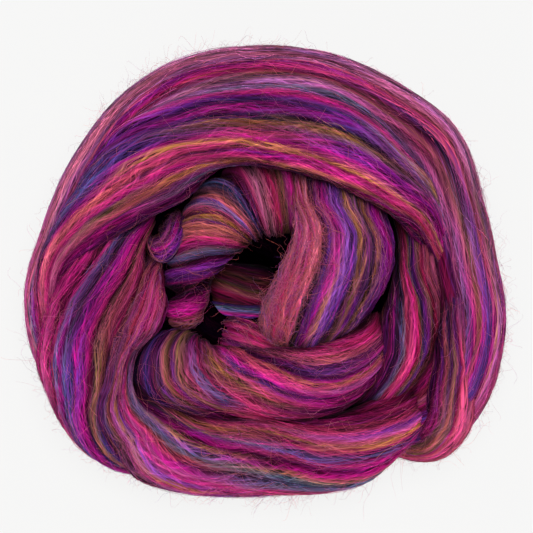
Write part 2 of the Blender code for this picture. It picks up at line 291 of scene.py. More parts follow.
# A turn is a grid of columns round it and rows along it, and its locks are lock_mm wide. A crease is
# (across, depth in mm, spread). On the side that shows, the turn keeps least_sky of painted light,
# however deep it lies, and dusk is painted shade: how much of its light it keeps at each place round
# the oval.
Turn = namedtuple(
    "Turn", "cuts columns rows lock_mm twist creases dusk relief least_sky slant hidden_at closed",
    defaults=(STRAIGHT, (), ((0, 1), (1, 1)), 1.0, 0.0, None, DOWN, False),
)  # fmt: skip
TURNS = {
    "lowest": Turn(LOWEST_TURN, 88, 140, 8.0, hidden_at=BACK, closed=True),
    "outer": Turn(OUTER_TURN, 120, 270, 8.0, hidden_at=IN, closed=True),
    "top": Turn(
        TOP_TURN, 144, 200, 8.5,
        ((0, -0.05), (0.2, -0.07), (0.3, -0.13), (0.4, -0.12), (0.47, -0.03), (0.55, 0), (0.7, 0.01),
         (0.8, 0), (0.9, -0.05), (1, -0.07)),
        ((0.487, 1.2, 0.012), (0.64, 0.7, 0.01)),
    ),
    "left": Turn(
        LEFT_TURN, 120, 120, 7.0,
        ((0, 0.2), (0.1, 0.13), (0.15, 0.09), (0.2, 0.05), (0.3, 0), (0.4, 0.01), (0.5, 0.04),
         (0.57, 0.04), (0.65, 0), (0.8, -0.08), (1, -0.15)),
        ((0.44, 0.9, 0.01), (0.625, 1.4, 0.012)),
    ),
    "front": Turn(
        FRONT_TURN, 136, 190, 7.0,
        ((0, 0), (0.14, 0.1), (0.2, 0), (0.25, -0.05), (0.3, 0.03), (0.34, 0.04), (0.37, 0.02),
         (0.4, 0), (0.45, -0.05), (0.5, -0.09), (0.6, -0.13), (0.7, -0.17), (0.8, -0.215),
         (0.9, -0.27), (1, -0.3)),
        ((0.668, 1.1, 0.01), (0.755, 0.8, 0.01)),
        ((0, 1), (0.83, 1), (0.88, 0.6), (0.93, 0.2), (1, 0.1)),
    ),
    "right": Turn(
        RIGHT_TURN, 88, 100, 5.0, ((0, 0.1), (0.3, 0.08), (0.45, 0), (0.65, 0), (0.8, 0.05), (1, 0.1)),
        ((0.58, 1.2, 0.02),), relief=0.9,
    ),
    "inner": Turn(
        INNER_TURN, 96, 90, 5.0,
        ((0, 0.25), (0.3, 0.15), (0.4, 0.05), (0.5, 0), (0.6, -0.04), (0.7, -0.04), (0.8, 0), (1, 0.1)),
        ((0.56, 1.2, 0.02),), relief=0.9,
    ),
    "rim": Turn(
        RIM_TURN, 80, 220, 6.0, STRAIGHT,
        ((0.255, 1.6, 0.012), (0.39, 1.2, 0.012), (0.625, 2.4, 0.014), (0.79, 5.0, 0.028)),
        ((0, 1), (0.54, 1), (0.62, 0.6), (0.7, 0.12), (1, 0.1)), least_sky=0.85,
        slant=((0, 0.13), (0.25, 0.13), (0.4, 0.52), (0.65, 0.65), (0.8, 0.2), (1, 0)),
    ),
    "fan": Turn(
        FAN_TURN, 132, 120, 6.0,
        ((0, 0.25), (0.1, 0.15), (0.15, 0.09), (0.2, 0.045), (0.25, 0.02), (0.3, 0), (0.4, -0.04),
         (0.5, -0.085), (0.6, -0.13), (0.7, -0.17), (0.8, -0.19), (1, -0.2)),
        ((0.60, 0.9, 0.01), (0.70, 1.3, 0.012)),
        ((0.25, 0.05), (0.31, 0.2), (0.37, 0.5), (0.43, 0.85), (0.48, 1), (0.64, 1), (0.7, 0.65),
         (0.76, 0.2), (1, 0.1)),
    ),
    "loop": Turn(
        LOOP_TURN, 136, 90, 7.0, ((0, 0.06), (0.25, 0.05), (0.35, 0), (0.7, -0.03), (1, -0.05)),
        ((0.582, 1.6, 0.012), (0.41, 1.0, 0.01)),
    ),
    "deep": Turn(
        DEEP_TURN, 44, 40, 4.0, ((0, 0.04), (1, -0.06)), (),
        ((0, 1), (0.5, 1), (0.6, 0.6), (0.7, 0.15), (1, 0.05)), relief=0.8, least_sky=0.3,
    ),
    "sill": Turn(SILL_TURN, 32, 50, 2.5, relief=0.5, least_sky=0.8),
    "tuft": Turn(TUFT_TURN, 60, 60, 3.0, relief=0.8, least_sky=0.3),
    "lip": Turn(
        LIP_TURN, 60, 60, 4.0, ((0, 0.1), (0.4, 0), (1, -0.08)), (),
        ((0, 1), (0.52, 1), (0.62, 0.6), (0.72, 0.15), (1, 0.1)), relief=0.9, least_sky=0.45,
    ),
}  # fmt: skip
print(len(TURNS), "turns, the widest lock", max(turn.lock_mm for turn in TURNS.values()), "mm")


# %% Soft noise, and the curve through the cuts
def read(table, at):
    """The value at a place of a table of (place, value) pairs, in straight lines between them."""
    return np.interp(at, *zip(*table))


def soft_noise(across, along, cells, seed):
    """Random numbers from -1 to 1 on a grid of cells that closes round both ways, blended between
    its corners by the smooth step 3f^2 - 2f^3."""
    grid = np.random.default_rng(seed).uniform(-1, 1, cells)
    a, b = across * cells[0], along * cells[1]
    i, j = np.floor(a).astype(int), np.floor(b).astype(int)
    f, g = a - i, b - j
    f, g = f * f * (3 - 2 * f), g * g * (3 - 2 * g)
    i, j, i2, j2 = i % cells[0], j % cells[1], (i + 1) % cells[0], (j + 1) % cells[1]
    low = grid[i, j] * (1 - f) + grid[i2, j] * f
    high = grid[i, j2] * (1 - f) + grid[i2, j2] * f
    return low * (1 - g) + high * g


def smooth_path(rows, steps, closed):
    """A Catmull-Rom curve through the cuts, column by column, then walked at even distances: between
    two knots it is the cubic that passes both with the slope of the line through their neighbours.
    Returns steps + 1 rows and the length in millimetres."""
    if closed:
        knots = np.vstack([rows[-1], rows, rows[:2]])
    else:
        knots = np.vstack([2 * rows[0] - rows[1], rows, 2 * rows[-1] - rows[-2]])
    t = np.linspace(0, len(knots) - 3, 12 * steps)
    i = np.minimum(t.astype(int), len(knots) - 4)
    f = (t - i)[:, None]
    p0, p1, p2, p3 = knots[i], knots[i + 1], knots[i + 2], knots[i + 3]
    dense = p1 + 0.5 * f * (p2 - p0 + f * (2 * p0 - 5 * p1 + 4 * p2 - p3 + f * (3 * (p1 - p2) + p3 - p0)))
    middle = (dense[:, 0:3] + dense[:, 3:6]) / 2
    run = np.concatenate([[0], np.cumsum(np.linalg.norm(np.diff(middle, axis=0), axis=1))])
    even = np.linspace(0, run[-1], steps + 1)
    return np.column_stack([np.interp(even, run, column) for column in dense.T]), run[-1]


def unit(vectors):
    return vectors / np.maximum(np.linalg.norm(vectors, axis=-1, keepdims=True), 1e-12)


# %% The surface of a turn
Surface = namedtuple("Surface", "points normals openness across along length girth")
GROOVES = ((1.0, 1.25), (0.36, 0.55), (0.17, 0.22))  # width as a share of a lock, and height in mm
GROOVE_EVERY_MM = 34  # how long the widest grooves keep their course; the finer ones turn sooner
FADE, FADE_BY = 0.75, 0.45  # the share of its height that a groove keeps, and how far that varies
WANDER, WANDER_MORE = 0.5, 0.4  # in widths of a groove: the widest ones, and more for each finer size
CREASE_WANDER, CREASE_CELLS = 0.004, (40, 9)
SWELL_MM, SWELL_EVERY_MM = 0.9, 40
CAP_MM = 9.0  # length over which an open end rounds off
# Over END_MM an open end is painted darker: painted shade where it goes under the next turn.
END_MM = 9.0  # length over which it sinks into the dark
BUNCH = 0.45  # how much closer the columns lie on the face that shows
MEAN_RIDGE = 0.64  # the mean size of a cosine
# The grooves are painted darker than their geometry alone makes them: painted shade.
LEVEL_OPEN, OPEN_MM, LEAST_OPEN = 0.62, 2.8, 0.1  # where nothing is pushed, the push that adds 1, the least


def place_of(turn, u, v):
    """Where on the stripes a point of the turn is: its across, or on the rim its along plus the
    slant times its distance from the middle of the oval."""
    if turn.slant is None:
        return u
    return v + read(turn.slant, v) * (u - 0.5)


def ridges(across, along, count, wander, cells, seed):
    """Rounded ridges with sharp valleys: the size of cos(pi * count * across), where soft noise
    pushes the ridges from side to side. Centred on zero."""
    shifted = across * count + wander * soft_noise(across, along, cells, seed)
    return np.abs(np.cos(pi * shifted)) - MEAN_RIDGE


def openness_of(push):
    """Painted shade of the grooves: LEAST_OPEN in the depth of a groove, up to 1 on a ridge."""
    return np.clip(LEVEL_OPEN + push / OPEN_MM, LEAST_OPEN, 1)


def turn_surface(turn, seed):
    """Point = middle - half width * cos(angle) + face direction * thickness * sin(angle), pushed
    along the oval's normal by a slow swell, by grooves of three sizes, and inward at the turn's own
    creases. The angle is the fibre's own place plus the twist so far. An open end rounds off. Its
    openness is painted shade: darker in the grooves, by dusk round the oval, and at an open end where
    it goes under the next turn."""
    path, length = smooth_path(turn.cuts, turn.rows, turn.closed)
    along = np.linspace(0, 1, turn.rows + 1)
    even = np.linspace(0, 1, turn.columns + 1)
    across = even + BUNCH * np.sin(2 * pi * even) / (2 * pi)
    edge_a, edge_b, thick = path[:, 0:3], path[:, 3:6], path[:, 6, None]
    middle, half = (edge_a + edge_b) / 2, (edge_b - edge_a) / 2
    to_end = np.minimum(along, 1 - along) * length
    if turn.closed:
        ahead = np.roll(middle[:-1], -1, 0) - np.roll(middle[:-1], 1, 0)
        ahead = np.vstack([ahead, ahead[:1]])
        cap = np.ones_like(along)
    else:
        ahead = np.gradient(middle, axis=0)
        cap = np.sqrt(1 - (1 - np.clip(to_end / CAP_MM, 0, 1)) ** 2)
    face = unit(np.cross(half, ahead))
    if turn.hidden_at == DOWN and face[:, 2].mean() < 0:
        face = -face
    width = np.linalg.norm(half, axis=-1, keepdims=True)[:, None]
    half, face, thick, cap = half[:, None], face[:, None], thick[:, None], cap[:, None, None]
    turned = read(turn.twist, along)[:, None]
    angle = 2 * pi * (across[None, :] + turned) + turn.hidden_at
    cos, sin = np.cos(angle)[..., None], np.sin(angle)[..., None]
    normal = unit(-half / width * cos * thick + face * sin * width)
    girth = 2 * pi * np.sqrt((width.mean() ** 2 + thick.mean() ** 2) / 2)
    u, v = np.meshgrid(across, along)
    a, b = place_of(turn, u, v), v
    span, way = girth, length
    if turn.slant is not None:
        b, span, way = u, length, girth
    push = SWELL_MM * soft_noise(a, b, (5, max(2, round(way / SWELL_EVERY_MM))), seed)
    for k, (share, height) in enumerate(GROOVES):
        count = max(3, round(span / (turn.lock_mm * share)))
        cells = (max(3, count // 2), max(2, round(way * (k + 1) / GROOVE_EVERY_MM)))
        fade = FADE + FADE_BY * soft_noise(a, b, cells, seed + 10 + k)
        push = push + height * fade * ridges(a, b, count, WANDER + WANDER_MORE * k, cells, seed + 20 + k)
    for at, depth, spread in turn.creases:
        off = a + CREASE_WANDER * soft_noise(a, b, CREASE_CELLS, seed + 40) - at
        push = push - depth * np.exp(-((off / spread) ** 2))
    points = middle[:, None] - half * cap * cos + face * thick * cap * sin
    points = points + normal * (push * turn.relief)[..., None] * cap
    openness = openness_of(push) * read(turn.dusk, (across[None, :] + turned) % 1)
    if not turn.closed:
        openness = openness * np.clip(to_end / END_MM, LEAST_OPEN, 1)[:, None]
    return Surface(points, normal, openness, across, along, length, girth)


surfaces = {name: turn_surface(turn, 100 * k + 7) for k, (name, turn) in enumerate(TURNS.items())}
for name, surface in surfaces.items():
    print(f"{name} turn: {surface.length:.0f} mm long, {surface.girth:.0f} mm round")

# %% [markdown]
# ## How much sky each place sees
# Packed wool swallows light: the gaps between the turns look nearly black, far darker than the shade
# between two solid things. Here that shade is painted into the colour. To know where the gaps are,
# look at the nest as a map of heights. From any point, look round in twelve directions and find how
# high the skyline stands in each. The more sky is hidden, the deeper the point lies, and the darker
# its painted shade. The materials read the result as `openness`.

# %% The height map and the share of sky
CELL_MM = 1.0
MAP_HALF = 112  # cells from the middle of the map to its edge
LOOK_MM = np.array([1.5, 2.5, 4.0, 6.0, 9.0, 13.0, 19.0])
COMPASS = np.linspace(0, 2 * pi, 12, endpoint=False)
SKY_GAIN, SKY_LOSS, LEAST_SKY, SKY_POWER = 1.55, 0.05, 0.02, 1.5
HALF_X, HALF_Y = 100.0, 94.0  # of the nest
# WALL_SKY is painted light for the outer wall under its bulge, and EDGE_GLOW a painted glow on the outer
# edge.
WALL, BULGE_Z = (0.80, 0.92), (45.0, 75.0)
WALL_SKY, EDGE_GLOW = 0.9, 0.3


def height_map():
    """The highest point of any turn over each cell, widened by one cell so that no hole is left."""
    heights = np.zeros((2 * MAP_HALF + 1, 2 * MAP_HALF + 1))
    for surface in surfaces.values():
        cells = np.round(surface.points[..., :2] / CELL_MM).astype(int) + MAP_HALF
        np.maximum.at(heights, (cells[..., 0], cells[..., 1]), surface.points[..., 2])
    wide = heights.copy()
    for axis in (0, 1):
        for shift in (-1, 1):
            wide = np.maximum(wide, np.where(heights == 0, np.roll(heights, shift, axis), 0))
    return wide


heights = height_map()
print(f"the map is {len(heights)} cells wide, and the highest is at {heights.max():.0f} mm")


def sky_share(points):
    """Painted light and shade: the mean over all directions of 1 - sine of the skyline's angle, where
    its tangent is the greatest (height there - height here) / distance. Scaled so that half a sky
    counts as nearly open. The outer wall stands under a bulge, which the map takes for a lid, so it
    gets its own share of painted light: it grows outward over WALL of the nest's half width, and
    downward from the bulge. Light also passes through the thin fur of the outer edge, which makes it
    glow, and that glow is painted too, by EDGE_GLOW."""
    flat = points.reshape(-1, 3)
    seen = np.zeros(len(flat))
    for turn in COMPASS:
        rise = np.zeros(len(flat))
        for reach in LOOK_MM:
            cells = flat[:, :2] + reach * np.array([np.cos(turn), np.sin(turn)])
            cells = np.clip(np.round(cells / CELL_MM).astype(int) + MAP_HALF, 0, 2 * MAP_HALF)
            rise = np.maximum(rise, (heights[cells[:, 0], cells[:, 1]] - flat[:, 2]) / reach)
        seen += 1 - rise / np.sqrt(1 + rise**2)
    sky = np.clip(SKY_GAIN * (seen / len(COMPASS)) - SKY_LOSS, LEAST_SKY, 1) ** SKY_POWER
    out = np.clip((np.hypot(flat[:, 0] / HALF_X, flat[:, 1] / HALF_Y) - WALL[0]) / (WALL[1] - WALL[0]), 0, 1)
    down = np.clip((BULGE_Z[1] - flat[:, 2]) / (BULGE_Z[1] - BULGE_Z[0]), 0, 1)
    return (np.maximum(sky, WALL_SKY * out * down) * (1 + EDGE_GLOW * out)).reshape(points.shape[:-1])


# %% [markdown]
# ## From arrays to a mesh
# Blender takes a mesh as plain lists, and `foreach_set` hands it a whole numpy array at once. A turn
# is a grid bent into a tube, so its last column of points is its first again, and an open end closes
# in a single point. The texture map keeps its own corner values, so it can say 1.0 on one side of
# that seam and 0.0 on the other.
#
# Two maps go on each mesh. `lay` gives every point its dye place and its distance along the fibre in
# metres, which the materials read. `OFBake` lays the piece out flat in a unit square, for baking. The
# attribute `openness` is painted light and shade: it is low in the grooves and in the gaps between
# turns, and the material multiplies the colour by it, so the gaps between strands are painted dark,
# as packed wool looks.

# %% Mesh helpers
BAKE_MAP = "OFBake"


def signed_volume(points, triangles):
    """A sixth of the sum of a . (b x c) over the triangles, which is positive if they face out."""
    a, b, c = (points[triangles[:, k]] for k in range(3))
    return float(np.einsum("ij,ij->i", a, np.cross(b, c)).sum()) / 6


def add_mesh(name, points, triangles, lay, bake, openness, material):
    """Makes the object in metres from points in millimetres, and turns the faces outward."""
    if signed_volume(points, triangles) < 0:
        triangles, lay, bake = triangles[:, ::-1], lay[:, ::-1], bake[:, ::-1]
    mesh = bpy.data.meshes.new(name)
    mesh.vertices.add(len(points))
    mesh.vertices.foreach_set("co", (points * MM).astype(np.float32).ravel())
    mesh.loops.add(3 * len(triangles))
    mesh.loops.foreach_set("vertex_index", triangles.astype(np.int32).ravel())
    mesh.polygons.add(len(triangles))
    mesh.polygons.foreach_set("loop_start", np.arange(0, 3 * len(triangles), 3, dtype=np.int32))
    mesh.polygons.foreach_set("use_smooth", np.ones(len(triangles), bool))
    for label, values in (("lay", lay), (BAKE_MAP, bake)):
        layer = mesh.uv_layers.new(name=label, do_init=False)
        layer.uv.foreach_set("vector", values.astype(np.float32).ravel())
    shares = mesh.attributes.new("openness", "FLOAT", "POINT")
    shares.data.foreach_set("value", openness.astype(np.float32))
    mesh.update(calc_edges=True)
    mesh.validate()
    mesh.materials.append(material)
    piece = bpy.data.objects.new(name, mesh)
    scene.collection.objects.link(piece)
    return piece


def grid_faces(rows, columns):
    """The two triangles of each cell of a grid, as (row, column) pairs, and each cell's own row."""
    i, j = (index.ravel() for index in np.meshgrid(np.arange(rows), np.arange(columns), indexing="ij"))
    here, right, over, both = ((i, j), (i, j + 1), (i + 1, j), (i + 1, j + 1))
    low, high = (
        np.stack([np.stack(corner, axis=-1) for corner in shape], axis=1)
        for shape in ((here, right, both), (here, both, over))
    )
    return low, high, i


def tube_faces(rows, columns, closed):
    """Triangles of a grid bent into a tube, and for each corner its row and column in the grid. In
    an open tube the first and last rows are one point each, numbered 0 and 1."""
    low, high, i = grid_faces(rows, columns)
    if not closed:
        low, high = low[i > 0], high[i < rows - 1]
    corners = np.concatenate([low, high])
    row, column = corners[..., 0], corners[..., 1] % columns
    if closed:
        return (row % rows) * columns + column, corners
    number = 2 + (row - 1) * columns + column
    return np.where(row == 0, 0, np.where(row == rows, 1, number)), corners


def tube_points(grid, closed):
    """The points that tube_faces numbers, from a grid whose last column repeats its first."""
    if closed:
        return grid[:-1, :-1].reshape(-1, grid.shape[-1])
    ends = np.stack([grid[0, :-1].mean(axis=0), grid[-1, :-1].mean(axis=0)])
    return np.vstack([ends, grid[1:-1, :-1].reshape(-1, grid.shape[-1])])


# %% Laying a point of a turn on its texture maps
def lay_of(turn, surface, u, v):
    """(dye place, metres along the fibre). On the lowest turn the distance runs out and back, so
    that its two ends meet without a step."""
    if turn.slant is not None:
        return np.stack([place_of(turn, u, v), u * surface.girth * MM], axis=-1)
    way = 0.5 - np.abs(v - 0.5) if turn.hidden_at == BACK else v
    return np.stack([u + 0 * v, way * surface.length * MM], axis=-1)


SHOWN_AT = 0.46  # the middle of what shows of a turn that has a least share of sky


def add_turn(name, material):
    """A turn's mesh, with its painted light and shade. Where the turn has a least share of sky, that
    painted light holds to 0.14 of the way round on each side of SHOWN_AT, and fades out over the next
    tenth."""
    turn, surface = TURNS[name], surfaces[name]
    triangles, corners = tube_faces(turn.rows, turn.columns, turn.closed)
    u, v = surface.across[corners[..., 1]], surface.along[corners[..., 0]]
    bake = np.stack([corners[..., 1] / turn.columns, v], axis=-1)
    points = tube_points(surface.points, turn.closed)
    facing = np.clip(2.4 - 10 * np.abs(surface.across - SHOWN_AT), 0, 1)
    facing = np.broadcast_to(facing[None, :, None], (turn.rows + 1, turn.columns + 1, 1))
    sky = np.maximum(sky_share(points), turn.least_sky * tube_points(facing, turn.closed).ravel())
    openness = tube_points(surface.openness[..., None], turn.closed).ravel() * sky
    lay = lay_of(turn, surface, u, v)
    return add_mesh(f"{name}_turn", points, triangles, lay, bake, openness, material)


# %% [markdown]
# ## Dyes
# The colours are those of a blend: pinks and purples for the most part, with thin runs of mustard,
# olive and slate blue to set them off. A table of stripes says which dye lies at which `across`, in
# hundredths, at one or more places along the turn. Between those places one table fades into the
# next, just as one lock of fibres runs out in real roving and another takes over. One colour is no
# dye: `shade` is painted shade, a near black laid on the undersides and edges of turns where they go
# into the gaps between them, and in the hollow. A table made mostly of shade and dark dyes, such as
# the right turn's at 0.18, the fan's at 0.13 and 0.93 and the lip's at 0.26, paints shade over an
# end that lies under other turns, and the fade into it is painted shade.

# %% The dyes, as they look in daylight, and a near black for painted shade
DYES = {
    "fuchsia": (198, 26, 140), "pink": (216, 48, 126), "magenta": (180, 18, 120),
    "rose": (204, 68, 111), "coral": (216, 82, 100), "salmon": (216, 106, 104),
    "mauve": (182, 81, 139), "orchid": (172, 104, 172), "lilac": (138, 78, 164),
    "violet": (100, 42, 142), "indigo": (68, 50, 138), "purple": (118, 22, 130),
    "plum": (82, 16, 80), "sloe": (46, 10, 50), "wine": (120, 18, 62), "crimson": (182, 25, 79),
    "navy": (44, 42, 106), "slate": (76, 92, 146), "teal": (77, 120, 142),
    "mustard": (188, 122, 49), "gold": (198, 139, 47), "olive": (116, 90, 50),
    "brown": (142, 74, 59), "clay": (154, 69, 82), "grey": (122, 96, 115), "blush": (206, 104, 135),
    # shade is no dye: it is painted shade, for the gaps between turns and the hollow.
    "petal": (224, 130, 165), "peach": (218, 118, 94), "shade": (21, 6, 26),
}  # fmt: skip


def daylight(name):
    """sRGB to linear: values over 0.04045 are ((v + 0.055) / 1.055) to the power 2.4."""
    v = np.array(DYES[name]) / 255
    linear = np.where(v > 0.04045, ((v + 0.055) / 1.055) ** 2.4, v / 12.92)
    return (*linear.tolist(), 1.0)


print(len(DYES), "dyes")
